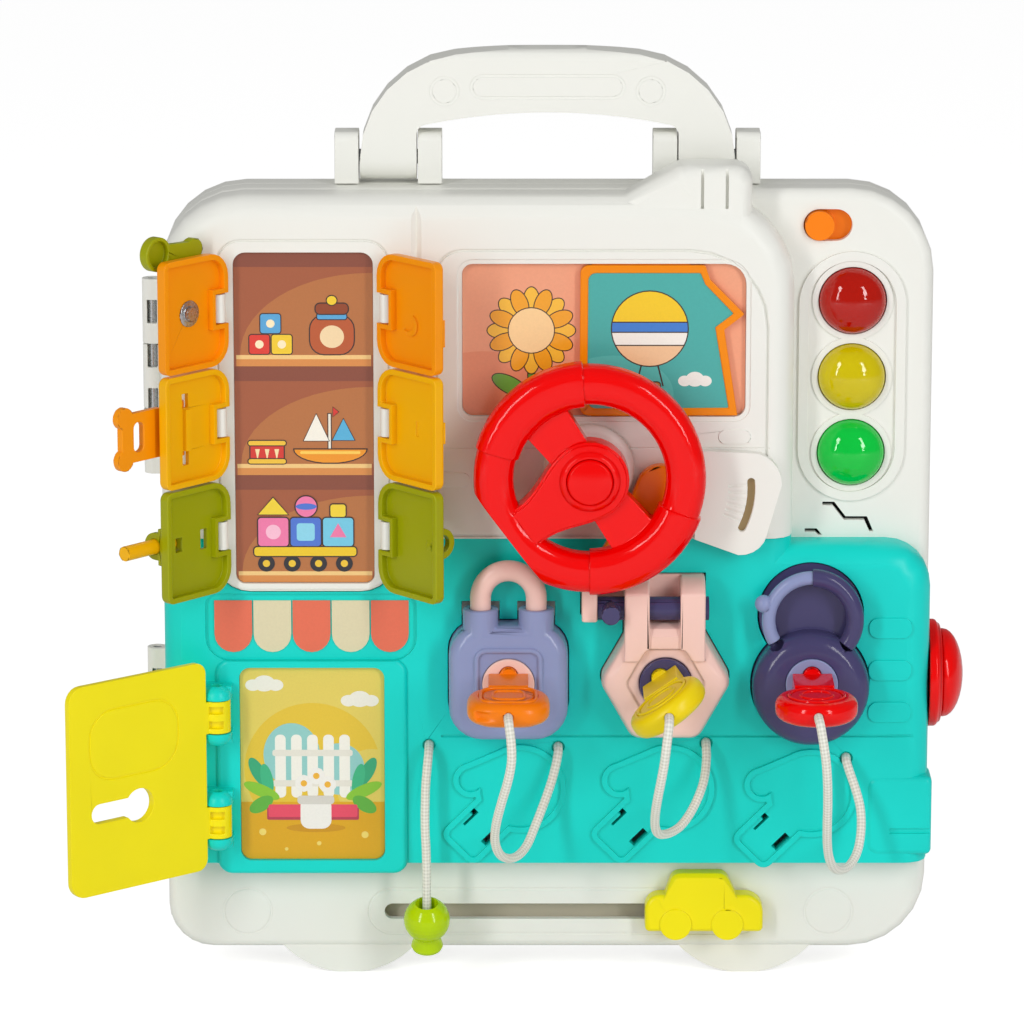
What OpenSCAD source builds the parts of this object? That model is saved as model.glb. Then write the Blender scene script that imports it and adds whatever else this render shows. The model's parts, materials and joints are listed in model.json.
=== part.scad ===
// Bus-shaped busy board: a flat plastic carry case in two halves, with locks,
// little doors, a steering wheel, lights and sliders on its front.
// Millimetres. +Z is up, the front faces -Y, and the origin is the bottom
// centre of the whole toy with its doors as they stand open.
// "Level" is the distance from the flat back of the case towards the child.

/* [Case] */
// Width of the case
case_w = 257; // [254:1:266]
// Height of the case without its feet
case_h = 261; // [258:1:270]
// Radius of the upper corners of the case
case_corner = 28; // [22:1:30]
// Wall of the moulded shells
wall = 3; // [2:0.5:3]
// Depth of the rear half
rear_depth = 12; // [11:0.5:14]
// Depth of the front half behind the raised bus
base_depth = 12; // [11.5:0.5:14]
// Height of the raised white bus over the front half
bus_rise = 16; // [15:0.5:18]
// Height of the turquoise panel over the front half
panel_rise = 14; // [13:0.5:15]
// Height of the white bottom strip over the front half
strip_rise = 5; // [4:0.5:6]
// Edge radius of the raised bus and of the panel
soft_edge = 8; // [5:0.5:8]

/* [Feet and case hinge] */
// Free height under the case
foot_drop = 9; // [8:0.5:11]
// Radius of the wheel-shaped feet
foot_radius = 30.4; // [28:0.2:34]
// Distance of each foot from the middle of the case
foot_reach = 67.3; // [60:0.5:72]
// Depth of the feet
foot_depth = 26; // [24:1:27]
// Radius of the hinge knuckles at the side of the case
knuckle_r = 3.4; // [3.2:0.1:4]
// Radius of the steel hinge rods
rod_r = 1.5; // [1.25:0.25:2]
// Length of one knuckle
knuckle_len = 22.3; // [20:0.1:23]

/* [Carry handle] */
// Width of the handle over its legs
handle_w = 124.8; // [118:0.2:130]
// Width of one leg
leg_w = 18.9; // [16:0.1:20]
// Depth of the handle
handle_depth = 15; // [13:0.5:16]
// Height of the handle over the case
handle_rise = 45.4; // [42:0.2:50]
// Height of the grip bar in its middle
grip_h = 21; // [18:0.5:23]
// Radius of the handle pins
pin_r = 2.5; // [2:0.25:3]
// Thickness of the ears that carry the handle
ear_w = 8; // [6:0.25:8]

/* [Cupboard doors] */
// Distance between the two hinge lines of the cupboard
cupboard_w = 55.4; // [53:0.2:57]
// Height of one cupboard door
small_door_h = 37.6; // [35:0.1:38]
// Distance from one row of doors to the next
small_door_pitch = 38.4; // [38.2:0.1:39]
// How far the cupboard doors stand open, in degrees
small_door_open = 131; // [110:1:135]
// Skin of a cupboard door
door_skin = 1.6; // [1.2:0.1:1.8]
// Height of the rim inside a cupboard door
door_rim = 2.4; // [1.8:0.1:2.4]
// Radius of the hinge barrels of the cupboard
barrel_r = 2.4; // [2.2:0.1:2.6]

/* [House door] */
// Height of the house door
house_door_h = 72; // [68:0.5:74]
// Width of the house door from its hinge line to its free edge
house_door_w = 61.5; // [58:0.5:62]
// Thickness of the house door
house_door_t = 3; // [2.4:0.1:3.2]
// How far the house door stands open, in degrees
house_door_open = 140; // [110:1:142]

/* [Steering wheel] */
// Radius of the wheel
wheel_r = 38.3; // [36:0.1:40]
// Width of the wheel's rim
rim_band = 13.2; // [11:0.1:14]
// Thickness of the wheel's rim
rim_t = 11; // [9:0.5:12]
// Radius of the spindle
spindle_r = 5; // [4:0.25:5.5]
// Free space between the bus and the rim
wheel_gap = 11; // [10:0.5:14]
// How far the wheel stands turned, in degrees
wheel_turn = -53; // [-90:1:0]

/* [Locks and keys] */
// Radius of the lock cylinders
cylinder_r = 8.7; // [8:0.1:9]
// Height of the locks over the turquoise panel
lock_rise = 12; // [10.5:0.5:13]
// Radius of the bow of a key
bow_r = 13.6; // [12:0.1:14]
// Thickness of the bow
bow_t = 8; // [7:0.1:9]
// Length of the neck from the lock to the bow
neck_len = 15.4; // [14:0.1:17]
// Tube radius of the pink shackle
shackle_tube = 3.5; // [3:0.1:3.6]

/* [Lights and sliders] */
// Radius of the light domes
dome_r = 11.2; // [10:0.1:11.6]
// Distance between the lights
dome_pitch = 25.8; // [25:0.1:27]
// Distance of the lights from the side of the case
dome_inset = 27; // [26:0.5:29]
// Height of the slot for the car
slot_h = 5.4; // [5:0.1:6]
// Thickness of the sliding car
car_t = 7; // [6:0.1:7]
// Radius of the dome at the side of the case
side_dome_r = 15; // [13:0.25:15.5]

/* [Clearances] */
// Gap between separate mouldings
fit = 0.4; // [0.3:0.05:0.5]
// Radial clearance of what turns or slides
run = 0.05; // [0.04:0.01:0.1]
// Gap between the two halves of the case
seam = 0.2; // [0.1:0.05:0.3]

/* [Hidden] */
$fn = 48;

// Colours
shell_white = "#EDEEE8";
panel_teal = "#21CFC4";
wheel_red = "#EE1111";
door_yellow = "#F2E600";
lilac = "#8F98C4";
pink = "#F3C8C0";
navy = "#463F66";
steel = "#B9BCC0";
key_orange = "#FF8A10";
key_yellow = "#F0D400";
key_red = "#F01018";
olive = "#8A9500";
amber = "#E8A000";
door_orange = "#F59000";
cord_white = "#E4E4DE";

// Levels, counted from the back of the case
seam_level = rear_depth + seam;
base_level = rear_depth + base_depth;
skin_level = base_level - wall;
bus_level = base_level + bus_rise;
panel_level = base_level + panel_rise;
strip_level = base_level + strip_rise;
plate_t = 2;
plate_level = seam_level + plate_t;
lock_level = panel_level + lock_rise;
neck_level = lock_level + 1.2;
bow_level = neck_level + neck_len + bow_r - 1.2;
bow_edge = 3.2;
key_front = bow_level + bow_r;

// Heights and sides
case_left = -case_w/2;
case_right = case_w/2;
case_top = foot_drop + case_h;
case_box = [case_left, foot_drop, case_right, case_top,
            case_corner, case_corner, case_corner - 2, case_corner/2 + 1];

// Cupboard
cupboard_x = case_left + 47.8;
cupboard_z = case_top - 74.4;
door_axis_level = bus_level + 4;
door_edge = 2.6;
small_door_w = cupboard_w/2 - fit;
barrel_len = 9.4;
notch_h = barrel_len + 0.8;
hinge_pin_r = 1.2;
picture_t = 0.5;

// House
house_x = case_left + 49.6;
house_axis_x = case_left + 18;
house_axis_level = panel_level + 7;
house_z = foot_drop + 70;
house_barrel_r = 4.6;
house_barrel_len = 11;
house_barrel_z = [house_z + 16.5, house_z - 20];
house_pin_r = 2;
house_bracket_r = house_barrel_r + 0.4;
house_picture_box = [house_x - 24.2, foot_drop + 34.2, house_x + 24.2, foot_drop + 101.2,
                     3.5, 3.5, 3.5, 3.5];
house_frame_box = [house_x - 32.2, foot_drop + 29.2, house_x + 32, foot_drop + 104.2,
                   5, 5, 5, 5];
awning_z = foot_drop + 115;
awning_pitch = 13.1;
awning_depth = 1.6;
scallop_r = 6.3;

// Panel
panel_bottom = foot_drop + 32.7;
panel_top = foot_drop + 145.5;
shoulder_drop = 2.8;
house_top = foot_drop + 124;
panel_split = case_left + 89;
crease_z = foot_drop + 77.2;

// Bus
bus_right = case_left + 210.2;
bus_split = case_left + 85.2;
bus_corner = 31;
window_box = [case_left + 100.2, case_top - 73.6, case_left + 194, case_top - 22.2,
              3.5, 7, 3.5, 3.5];
window_depth = 3;
slider_left = window_box[2] - 55;
slider_top = window_box[3] - fit;
slider_foot = window_box[1] + fit;
slider_t = 2.6;
slider_back = bus_level - window_depth + picture_t + 0.1;
slider_lip = 1;

// Steering
wheel_x = case_left + 142.3;
wheel_z = case_top - 90.8;
base_ring_r = 15;
base_ring_h = 4;
rim_level = bus_level + wheel_gap;
hub_r = 13;
spoke_foot = 7;
horn_r = 7.6;
lever_x = wheel_x + 23.8;
lever_z = wheel_z - 6.6;
lever_pin_r = 2.5;
lever_reach = 30;
lobe_level = bus_level + 4;
slit_w = 2.6;
slit_depth = 2;

// Lights
dome_x = case_right - dome_inset;
dome_z = case_top - 63.2;
dome_flange = 1.8;
lens_t = 1.6;
dome_rise = 8;
switch_x = dome_x - 11.3;
switch_z = case_top - 12;
switch_r = 4.9;
switch_travel = 5.6;

// Side button
side_z = foot_drop + 94;
side_level = 17.6;
side_stem_r = 3;
side_bezel_r = side_dome_r + 2.4;
side_bezel_h = 4.6;
side_rise = 12.4;

// Bottom strip
strip_z = foot_drop + 12.9;
channel_level = strip_level - wall - 2.9;
slot_from = case_left + 73.4;
slot_to = case_right - 61;
car_x = case_right - 75.2;
car_stem = 18;
car_len = 40;

// Locks
lock_z = foot_drop + 98.4;
lock_one_x = case_left + 115.5;
lock_two_x = lock_one_x + 52.4;
lock_three_x = lock_one_x + 101.1;
lock_one_box = [lock_one_x - 19.9, lock_z - 20, lock_one_x + 19.9, lock_z + 19, 10, 10, 11, 11];
shackle_level = panel_level + 6;
shackle_r = 9.3;
shackle_z = lock_z + 28.2;
cup_r = shackle_tube + 2.4;
hex_r = 21.3;
ear_two_z = lock_z + 24.9;
bolt_level = panel_level + 7;
bolt_r = 4;
ring_r = 14.4;
ring_tube = 3;
ring_z = lock_z + 21;
ring_level = panel_level + 7.5;
lock_three_r = 19.6;
key_two_turn = 35;

// Case hinge
hinge_x = case_left - knuckle_r - 0.3;
hinge_starts = [foot_drop + 35, case_top - 98.7];
knuckle_gap = 0.4;

// Handle
handle_level = 1 + handle_depth/2;
pivot_z = case_top + handle_depth/2 + 1;
handle_top = case_top + handle_rise;

// Cord
cord_r = 1.5;
hole_z = [lock_z - 25, lock_z - 23.6, lock_z - 28.8, lock_z - 24.3];
cord_hole_x = [lock_one_x + 16.7, lock_one_x + 66.4, lock_one_x + 113.6, lock_one_x - 26.7];
cord_hole_depth = 1.5;
cord_seat = 1.6;

// Depth of the faint decorative grooves
faint = 0.2;

// The whole toy: open house door at the left, side button at the right
toy_left = house_axis_x - house_door_w*cos(180 - house_door_open) - 0.8;
toy_right = case_right + side_rise;
case_x = -(toy_left + toy_right)/2;
back_y = key_front/2;

// Cord routes as [across, level, height]
route_one = [[-13, 91, 107.4], [-13, 94.5, 107.4], [-12.7, 98.2, 106], [-12, 99.5, 100], [-12, 99, 94],
             [-13.2, 97, 87],
             [-15.2, 93.5, 79], [-17, 88, 70], [-17.4, 82, 62.5], [-16, 76, 56.5], [-13.4, 70, 53],
             [-10, 64, 52], [-6.8, 58, 54], [-4, 52, 59], [-1, 47, 65.5], [1.4, 44.5, 72],
             [3, 43.2, 78], [3.7, 41.4, 81.6], [3.7, 39, 82.4], [3.7, 36.5, 82.4]];
route_two = [[39.4, 91, 107.4], [39.4, 94.5, 107.4], [39.2, 98, 106], [38.4, 99.3, 99.5], [37.8, 98.6, 94],
             [36.8, 96.2, 87],
             [35.8, 92.5, 80], [35.2, 87, 73], [35.4, 81, 67], [36.8, 74.5, 62.8], [40, 68, 61],
             [44, 62, 61.5], [47.6, 56.5, 64.5], [50.6, 51.5, 69], [52.6, 47.6, 74],
             [53.4, 44.2, 79.6], [53.4, 41.6, 83], [53.4, 39, 83.8], [53.4, 36.5, 83.8]];
route_three = [[88.1, 91, 107.4], [88.1, 94.5, 107.4], [88.5, 98, 106], [89.6, 99.3, 99.5], [90.4, 98.8, 94],
               [91, 96.8, 87],
               [91.4, 93, 79], [91.6, 88.5, 70.5], [92, 83, 62.5], [93, 77, 55.5], [95, 71, 50],
               [98, 65, 47.5], [101.4, 59.5, 48], [104, 54.5, 51.5], [105.2, 50.5, 57.5],
               [105, 47.4, 64], [103.4, 45, 70], [101.6, 43, 75], [100.6, 41.2, 78],
               [100.6, 39, 78.6], [100.6, 36.5, 78.6]];
route_bead = [[-39.7, 36.5, 83.1], [-39.7, 39, 83.1], [-39.7, 41.6, 82.6], [-39.9, 44.2, 80.6],
              [-40.3, 45.6, 76.5], [-40.6, 46, 73.2], [-40.8, 46.2, 70], [-40.9, 46.4, 66], [-41, 46.6, 62],
              [-41, 46.7, 58], [-40.9, 46.8, 54], [-40.7, 46.8, 50], [-40.6, 46.8, 46],
              [-40.5, 46.8, 42], [-40.5, 46.8, 38.2], [-40.5, 46.8, 32], [-40.5, 46.8, 27.6]];
bead_at = [-40.5, 46.8, 24.5];
bead_r = 7.8;
bead_tilt = 18;

// ---- Shapes that repeat ----

function arc(x, y, r, a0, a1, n = 6) =
    [for (i = [0:n]) let (a = a0 + (a1 - a0)*i/n) [x + r*cos(a), y + r*sin(a)]];

// A rounded box outline: left, foot, right, top, then the corner radii from top left clockwise
function outline(b, inset = 0) = let (r = [for (i = [4:7]) max(b[i] - inset, 0.6)])
    concat(arc(b[2] - inset - r[1], b[3] - inset - r[1], r[1], 0, 90),
           arc(b[0] + inset + r[0], b[3] - inset - r[0], r[0], 90, 180),
           arc(b[0] + inset + r[3], b[1] + inset + r[3], r[3], 180, 270),
           arc(b[2] - inset - r[2], b[1] + inset + r[2], r[2], 270, 360));

module in_place() translate([case_x, back_y, 0]) children();

// Turns a flat drawing to face the child, at a level
module face(level) translate([0, -level, 0]) rotate([90, 0, 0]) children();

module prism(points, from, to) face(from) linear_extrude(to - from) polygon(points);

module block(x0, z0, x1, z1, from, to) translate([x0, -to, z0]) cube([x1 - x0, to - from, z1 - z0]);

module peg(x, z, r, from, to) face(from) translate([x, z, 0]) cylinder(r = r, h = to - from);

module post(x, level, r, z0, z1) translate([x, -level, z0]) cylinder(r = r, h = z1 - z0);

module bar(x0, x1, level, z, r) translate([x0, -level, z]) rotate([0, 90, 0]) cylinder(r = r, h = x1 - x0);

// A block whose front edge is round
module soft(b, from, to, edge) hull() {
    prism(outline(b), from, to - edge);
    for (a = [25, 50, 75]) prism(outline(b, edge*(1 - cos(a))), from, to - edge*(1 - sin(a)));
    prism(outline(b, edge), from, to);
}

// A slot with round ends
module capsule(x, z, w, h) {
    translate([x, z]) square([w - h, h], center = true);
    for (side = [-1, 1]) translate([x + side*(w - h)/2, z]) circle(h/2);
}

// A narrow groove that follows a rounded box
module groove(b, width, from, to) difference() {
    prism(outline(b), from, to);
    prism(outline(b, width), from - 1, to + 1);
}

// ---- Case ----

module hinge_windows(start) for (z = [10.4, 25.5, 40.6, 55.7])
    translate([hinge_x - 1.7, -(rear_depth + knuckle_r + 1), start + z - 4])
        cube([3.4, knuckle_r + 1, 8]);

module knuckle(start, index) {
    z0 = start + index*knuckle_len + knuckle_gap/2;
    post(hinge_x, rear_depth, knuckle_r, z0, z0 + knuckle_len - knuckle_gap);
}

module hinge_bore(start)
    post(hinge_x, rear_depth, rod_r + run, start - 1, start + 3*knuckle_len + 1);

module ear(x, w) {
    profile = concat([[2, case_top - wall], [rear_depth, case_top - wall], [rear_depth, case_top + fit],
                      [handle_depth + 0.5, case_top + fit]],
                     arc(handle_depth - 2.5, pivot_z + 6, 3, 0, 90), arc(5, pivot_z + 6, 3, 90, 180));
    translate([x, 0, 0]) rotate([90, 0, 90]) mirror([1, 0, 0]) linear_extrude(w) polygon(profile);
}

ear_starts = [-handle_w/2 - fit - ear_w, -handle_w/2 + leg_w + fit,
              handle_w/2 - leg_w - fit - ear_w, handle_w/2 + fit];

module rear_shell() color(shell_white) in_place() difference() {
    union() {
        difference() {
            hull() {
                prism(outline(case_box), 3, rear_depth);
                prism(outline(case_box, 3), 0, 3);
            }
            prism(outline(case_box, wall), wall, rear_depth + 1);
        }
        for (x = ear_starts) ear(x, ear_w);
        for (start = hinge_starts) {
            knuckle(start, 1);
            block(hinge_x, start + knuckle_len + knuckle_gap/2, case_left + wall/2,
                  start + 2*knuckle_len - knuckle_gap/2, rear_depth - knuckle_r, rear_depth - seam);
        }
    }
    for (start = hinge_starts) {
        hinge_bore(start);
        hinge_windows(start);
    }
    bar(-handle_w, handle_w, handle_level, pivot_z, pin_r + run);
}

// Each half of the case stands on its own slice of the two wheels
module feet(from, to, top) for (side = [-1, 1]) intersection() {
    peg(side*foot_reach, foot_radius - 0.3, foot_radius, from, to);
    block(-case_w, 0, case_w, top, from - 1, to + 1);
}

module wheel_feet() color(shell_white) in_place() feet(2, rear_depth, foot_drop);

module hinge_rods() color(steel) in_place() for (start = hinge_starts)
    post(hinge_x, rear_depth, rod_r, start + 0.5, start + 3*knuckle_len - 0.5);

module handle_pins() color(steel) in_place() for (side = [-1, 1])
    translate([side*(handle_w - leg_w)/2, 0, 0])
        bar(-leg_w/2 - ear_w + 1, leg_w/2 + ear_w - 1, handle_level, pivot_z, pin_r);

// The arch of the handle: a wide crown between two round shoulders, and straight legs
function handle_outer() = let (crown = 269, shoulder = 36, x = handle_w/2 - shoulder,
        crown_z = handle_top - crown, z = crown_z + sqrt(pow(crown - shoulder, 2) - x*x),
        a = atan2(z - crown_z, x), foot = pivot_z - handle_depth)
    concat([[handle_w/2, foot]], arc(x, z, shoulder, 0, a, 6), arc(0, crown_z, crown, a, 180 - a, 14),
           arc(-x, z, shoulder, 180 - a, 180, 6), [[-handle_w/2, foot]]);

function handle_inner() = let (crown = 200, corner = 3.4, x = handle_w/2 - leg_w - corner,
        crown_z = handle_top - grip_h - crown, z = crown_z + sqrt(pow(crown - corner, 2) - x*x),
        a = atan2(z - crown_z, x), foot = pivot_z - 2*handle_depth)
    concat([[x + corner, foot]], arc(x, z, corner, 0, a, 5), arc(0, crown_z, crown, a, 180 - a, 10),
           arc(-x, z, corner, 180 - a, 180, 5), [[-x - corner, foot]]);

module carry_handle() color(shell_white) in_place() {
    emblem_z = handle_top - 12.5;
    front = handle_level + handle_depth/2;
    side_view = concat(arc(0, pivot_z, handle_depth/2, 180, 360, 12),
                       arc(handle_depth/2 - 4, handle_top - 4, 4, 0, 90, 4),
                       arc(-handle_depth/2 + 4, handle_top - 4, 4, 90, 180, 4));
    difference() {
        intersection() {
            prism(handle_outer(), 0, 30);
            translate([-handle_w, -handle_level, 0]) rotate([90, 0, 90]) linear_extrude(2*handle_w)
                polygon(side_view);
        }
        prism(handle_inner(), -1, 31);
        bar(-handle_w, handle_w, handle_level, pivot_z, pin_r + run);
        face(front - faint) linear_extrude(1) difference() {
            capsule(0, emblem_z, 51.5, 8.4);
            capsule(0, emblem_z, 49.5, 6.4);
        }
        for (side = [-1, 1]) face(front - faint) translate([side*34.2, emblem_z - 1.4, 0]) difference() {
            cylinder(r = 5, h = 1);
            translate([0, 0, -1]) cylinder(r = 4, h = 3);
        }
    }
}

// ---- Front half ----

module lamp_holes(r, from, to) for (i = [-1:1]) peg(dome_x, dome_z + i*dome_pitch, r, from, to);

module speaker_slits() {
    face(skin_level - 1) translate([dome_x, dome_z, 0]) linear_extrude(wall + 2) {
        polygon([[-9.2, -43], [-5.2, -43], [-1.4, -48], [5.8, -48], [8, -53.2], [6.7, -53.2],
                 [4.9, -49.2], [-1.9, -49.2], [-5.8, -44.2], [-9.2, -44.2]]);
        polygon([[-15, -52.2], [-11, -52.2], [-9.2, -54.4], [-10.4, -54.4], [-11.6, -53.3], [-15, -53.3]]);
    }
}

boss_places = [[case_left + 20, foot_drop + 20], [case_right - 20, foot_drop + 34],
               [case_left + 17, case_top - 17], [case_right - 9, case_top - 24],
               [2, foot_drop + 34], [2, case_top - 8.5]];

module front_base() color(shell_white) in_place() {
    slot_mid = (slot_from + slot_to)/2;
    slot_len = slot_to - slot_from;
    difference() {
        union() {
            soft(case_box, seam_level, base_level, 4);
            intersection() {
                soft(case_box, seam_level, strip_level, 3);
                block(-case_w, 0, case_w, panel_bottom - fit, 0, strip_level + 1);
            }
            feet(seam_level, 2 + foot_depth, foot_drop + 0.7);
            for (start = hinge_starts, i = [0, 2]) {
                knuckle(start, i);
                block(hinge_x, start + i*knuckle_len + knuckle_gap/2, case_left + wall/2,
                      start + (i + 1)*knuckle_len - knuckle_gap/2, seam_level, rear_depth + knuckle_r);
            }
        }
        difference() {
            prism(outline(case_box, wall), rear_depth - 1, skin_level);
            for (p = boss_places) peg(p[0], p[1], 4, plate_level, skin_level + 1);
        }
        for (p = boss_places) peg(p[0], p[1], 1.6, 0, skin_level - 0.5);
        block(case_left + 14, panel_top + 12, bus_right - 12, case_top - 25,
              skin_level - 1, base_level + 1);
        block(case_left + 14, panel_bottom + 8, panel_split - 8, house_top - 2,
              skin_level - 1, base_level + 1);
        for (start = hinge_starts) {
            hinge_bore(start);
            hinge_windows(start);
        }
        lamp_holes(dome_r + 0.2, 0, base_level + 1);
        face(skin_level - 1) linear_extrude(wall + 2)
            capsule(switch_x + switch_travel/2, switch_z, 2*switch_r + switch_travel + 0.8, 2*switch_r + 0.8);
        speaker_slits();
        // Slot of the car and the closed channel behind it
        face(channel_level) linear_extrude(strip_level) capsule(slot_mid, strip_z, slot_len, slot_h);
        block(slot_from - 4, strip_z - 6, slot_to + 4, strip_z + 6, channel_level, strip_level - wall);
        face(strip_level - faint) linear_extrude(1) difference() {
            capsule(slot_mid, strip_z, slot_len + 11.5, 16.6);
            capsule(slot_mid, strip_z, slot_len + 9.9, 15);
        }
        for (x = [case_left + 26.8, case_right - 32.7]) face(strip_level - faint) translate([x, strip_z, 0])
            linear_extrude(1) difference() {
                circle(8.5);
                circle(7.7);
            }
        translate([case_right - wall - 1, -side_level, side_z]) rotate([0, 90, 0])
            cylinder(r = side_stem_r + 0.15, h = wall + 2);
    }
    // Raised ring round the three lights
    difference() {
        face(base_level) rotate(90) linear_extrude(1.2) capsule(dome_z, -dome_x, 84.8, 35.6);
        face(base_level - 1) rotate(90) linear_extrude(4) capsule(dome_z, -dome_x, 78.4, 29.2);
    }
    // A collar round each light
    difference() {
        lamp_holes(dome_r + 2.2, base_level - 0.5, base_level + 0.8);
        lamp_holes(dome_r + 0.2, 0, base_level + 2);
    }
}

module door_knuckle(side, row) {
    x = cupboard_x + side*cupboard_w/2;
    z = cupboard_z + row*small_door_pitch;
    difference() {
        union() {
            post(x, door_axis_level, barrel_r, z - barrel_len/2, z + barrel_len/2);
            block(x - 1.2, z - barrel_len/2, x + 1.2, z + barrel_len/2, bus_level - 1, door_axis_level);
        }
        post(x, door_axis_level, hinge_pin_r + run, z - barrel_len, z + barrel_len);
    }
}

// The white surround of the cupboard reaches down into the turquoise panel
apron_box = [cupboard_x - 30.5, cupboard_z - 59, cupboard_x + 30.5, panel_top + 20, 2, 2, 12, 12];
cupboard_picture_box = [cupboard_x - 23, cupboard_z - 56, cupboard_x + 23, cupboard_z + 56, 4, 4, 3, 3];
cupboard_frame_box = [cupboard_x - cupboard_w/2 - 1, cupboard_z - 59, cupboard_x + cupboard_w/2 + 1,
                      cupboard_z + 60.5, 8, 8, 8, 8];

// Outline of the lobe beside the steering wheel
lobe = concat([[wheel_x + 36, wheel_z + 6.6]], arc(wheel_x + 53, wheel_z - 5, 11, 75, 0, 5),
              arc(wheel_x + 50.4, wheel_z - 20, 9, -15, -95, 5), [[wheel_x + 35, wheel_z - 23.6]]);

// The bulge of the roof: a steep right side and a long slope to the left
function roof_bulge(inset) = concat([[67.4 - inset, case_top - 8 - inset]],
    arc(61.4, case_top + 4.2, 6 - inset, 0, 90, 6), arc(46, case_top + 0.2, 10 - inset, 90, 128, 5),
    [[21.5 + 1.4*inset, case_top - 2.5 - inset], [21.5 + 1.4*inset, case_top - 4 - inset]]);

module bus_shell() color(shell_white) in_place() difference() {
    union() {
        intersection() {
            soft([case_left, house_top, bus_right, case_top, case_corner, bus_corner, 2, 2],
                 base_level, bus_level, soft_edge);
            block(-case_w, panel_top + fit, case_w, case_top + 1, 0, bus_level + 1);
        }
        soft(apron_box, base_level, bus_level, 1.5);
        // Roof bulge in front of the right handle leg
        hull() {
            prism(roof_bulge(0), base_level, bus_level - 6);
            prism(roof_bulge(1.2), base_level, bus_level - 3);
            prism(roof_bulge(3.6), base_level, bus_level - 1.4);
        }
        prism(lobe, bus_level - 1, lobe_level);
        // Two small pads beside the wheel
        for (pad = [[wheel_x + 48.2, wheel_z + 10.4], [wheel_x - 44.9, wheel_z - 4.2]])
            face(bus_level - 1) linear_extrude(1.3) capsule(pad[0], pad[1], 10.7, 4.8);
        for (side = [-1, 1], row = [-1:1]) door_knuckle(side, row);
    }
    // Shallow crease between the cupboard and the cab
    translate([bus_split, -bus_level, house_top]) rotate(45)
        cube([2.4, 2.4, 2*(case_top - house_top)], center = true);
    // Hollow back
    prism(outline([case_left + wall, panel_top + 5, bus_split - wall, case_top - wall, 24, 4, 2, 2]),
          base_level - 1, bus_level - 6);
    prism(outline([apron_box[0] + wall, apron_box[1] + wall, apron_box[2] - wall, panel_top + 6, 2, 2, 9, 9]),
          base_level - 1, bus_level - 6);
    prism(outline([bus_split, panel_top + 5, bus_right - wall, case_top - wall, 2, 26, 2, 2]),
          base_level - 1, bus_level - 6);
    // Pockets for the pictures
    prism(outline(cupboard_picture_box, -0.1), bus_level - 2, bus_level + 1);
    groove(cupboard_frame_box, 0.8, bus_level - 0.7, bus_level + 1);
    prism(outline(window_box), bus_level - window_depth, bus_level + 1);
    prism(outline(window_box, -1.6), bus_level - 0.5, bus_level + 1);
    // Grooves that guide the sliding pane
    block(window_box[0], slider_foot - slider_lip - 0.2, window_box[2], slider_top + slider_lip + 0.2,
          slider_back - 0.1, slider_back + slider_lip + 0.1);
    // Step of the window surround
    groove([bus_split + 6, panel_top + 1, bus_right - 8.6, case_top - 17.2, 9, 26, 1, 1], 0.9,
           bus_level - 0.8, bus_level + 1);
    // Faint line across the cab
    block(bus_split + 6, wheel_z + 6.4, bus_right - soft_edge, wheel_z + 6.8,
          bus_level - faint, bus_level + 1);
    // Two ribs on the roof bulge
    for (x = [50.3, 58.4]) block(x, case_top - 4, x + 1, case_top + 14, bus_level - 3, bus_level + 1);
    // Seat of the steering base and of the lever pin
    peg(wheel_x, wheel_z, spindle_r + 3 + fit/2, base_level - 1, bus_level + 1);
    peg(lever_x, lever_z, lever_pin_r + run, base_level - 1, bus_level + 1);
    // Slit in an arc round the lever, with round ends
    for (a = [5, -26]) peg(lever_x + lever_reach*cos(a), lever_z + lever_reach*sin(a), slit_w/2,
                           lobe_level - slit_depth, lobe_level + 1);
    prism(concat(arc(lever_x, lever_z, lever_reach + slit_w/2, 5, -26, 8),
                 arc(lever_x, lever_z, lever_reach - slit_w/2, -26, 5, 8)),
          lobe_level - slit_depth, lobe_level + 1);
    // Fan of ribs beside the arc window
    for (i = [0:5]) face(lobe_level - 0.4) translate([lever_x, lever_z, 0]) rotate(3 - 5*i)
        linear_extrude(1) translate([22.4, -0.45]) square([6.6, 0.9]);
}

// Where the locks come through the turquoise panel
module lock_openings(from, to) {
    prism(outline(lock_one_box, -fit), from, to);
    for (side = [-1, 1]) let (x = lock_one_x + side*shackle_r)
        block(x - cup_r - fit, lock_z, x + cup_r + fit, shackle_z - 2.6, from, to);
    prism(hex_outline(hex_r + fit), from, to);
    block(lock_two_x - 13.8 - fit, lock_z, lock_two_x + 13.1 + fit, lock_z + 35 + fit, from, to);
    block(lock_two_x - 28 - fit, lock_z + 21, lock_two_x, lock_z + 35 + fit, from, to);
    peg(lock_three_x, lock_z - 2.8, lock_three_r + fit, from, to);
    peg(lock_three_x, ring_z, ring_r + ring_tube + fit, from, to);
}

// The raised outline where a key is parked: bow, one lobe, and the square end of its neck
module key_park(place, edge = 0) translate(place) {
    lobe_at = [-16.6, 3];
    shared = [cos(113.6), sin(113.6)];
    circle(park_r - edge);
    translate(lobe_at) circle(6 - edge);
    polygon([[0, 0], (park_r - edge - 0.1)*shared, lobe_at + (5.9 - edge)*shared, lobe_at]);
    rotate(225) polygon(outline([8, -8.2, 30.6, 8.2, 0, 3.6, 3.6, 0], edge));
}

park_r = 15.4;
park_places = [[lock_one_x + 4, foot_drop + 59], [lock_one_x + 54, foot_drop + 59],
               [lock_one_x + 102, foot_drop + 57.4]];

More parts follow.
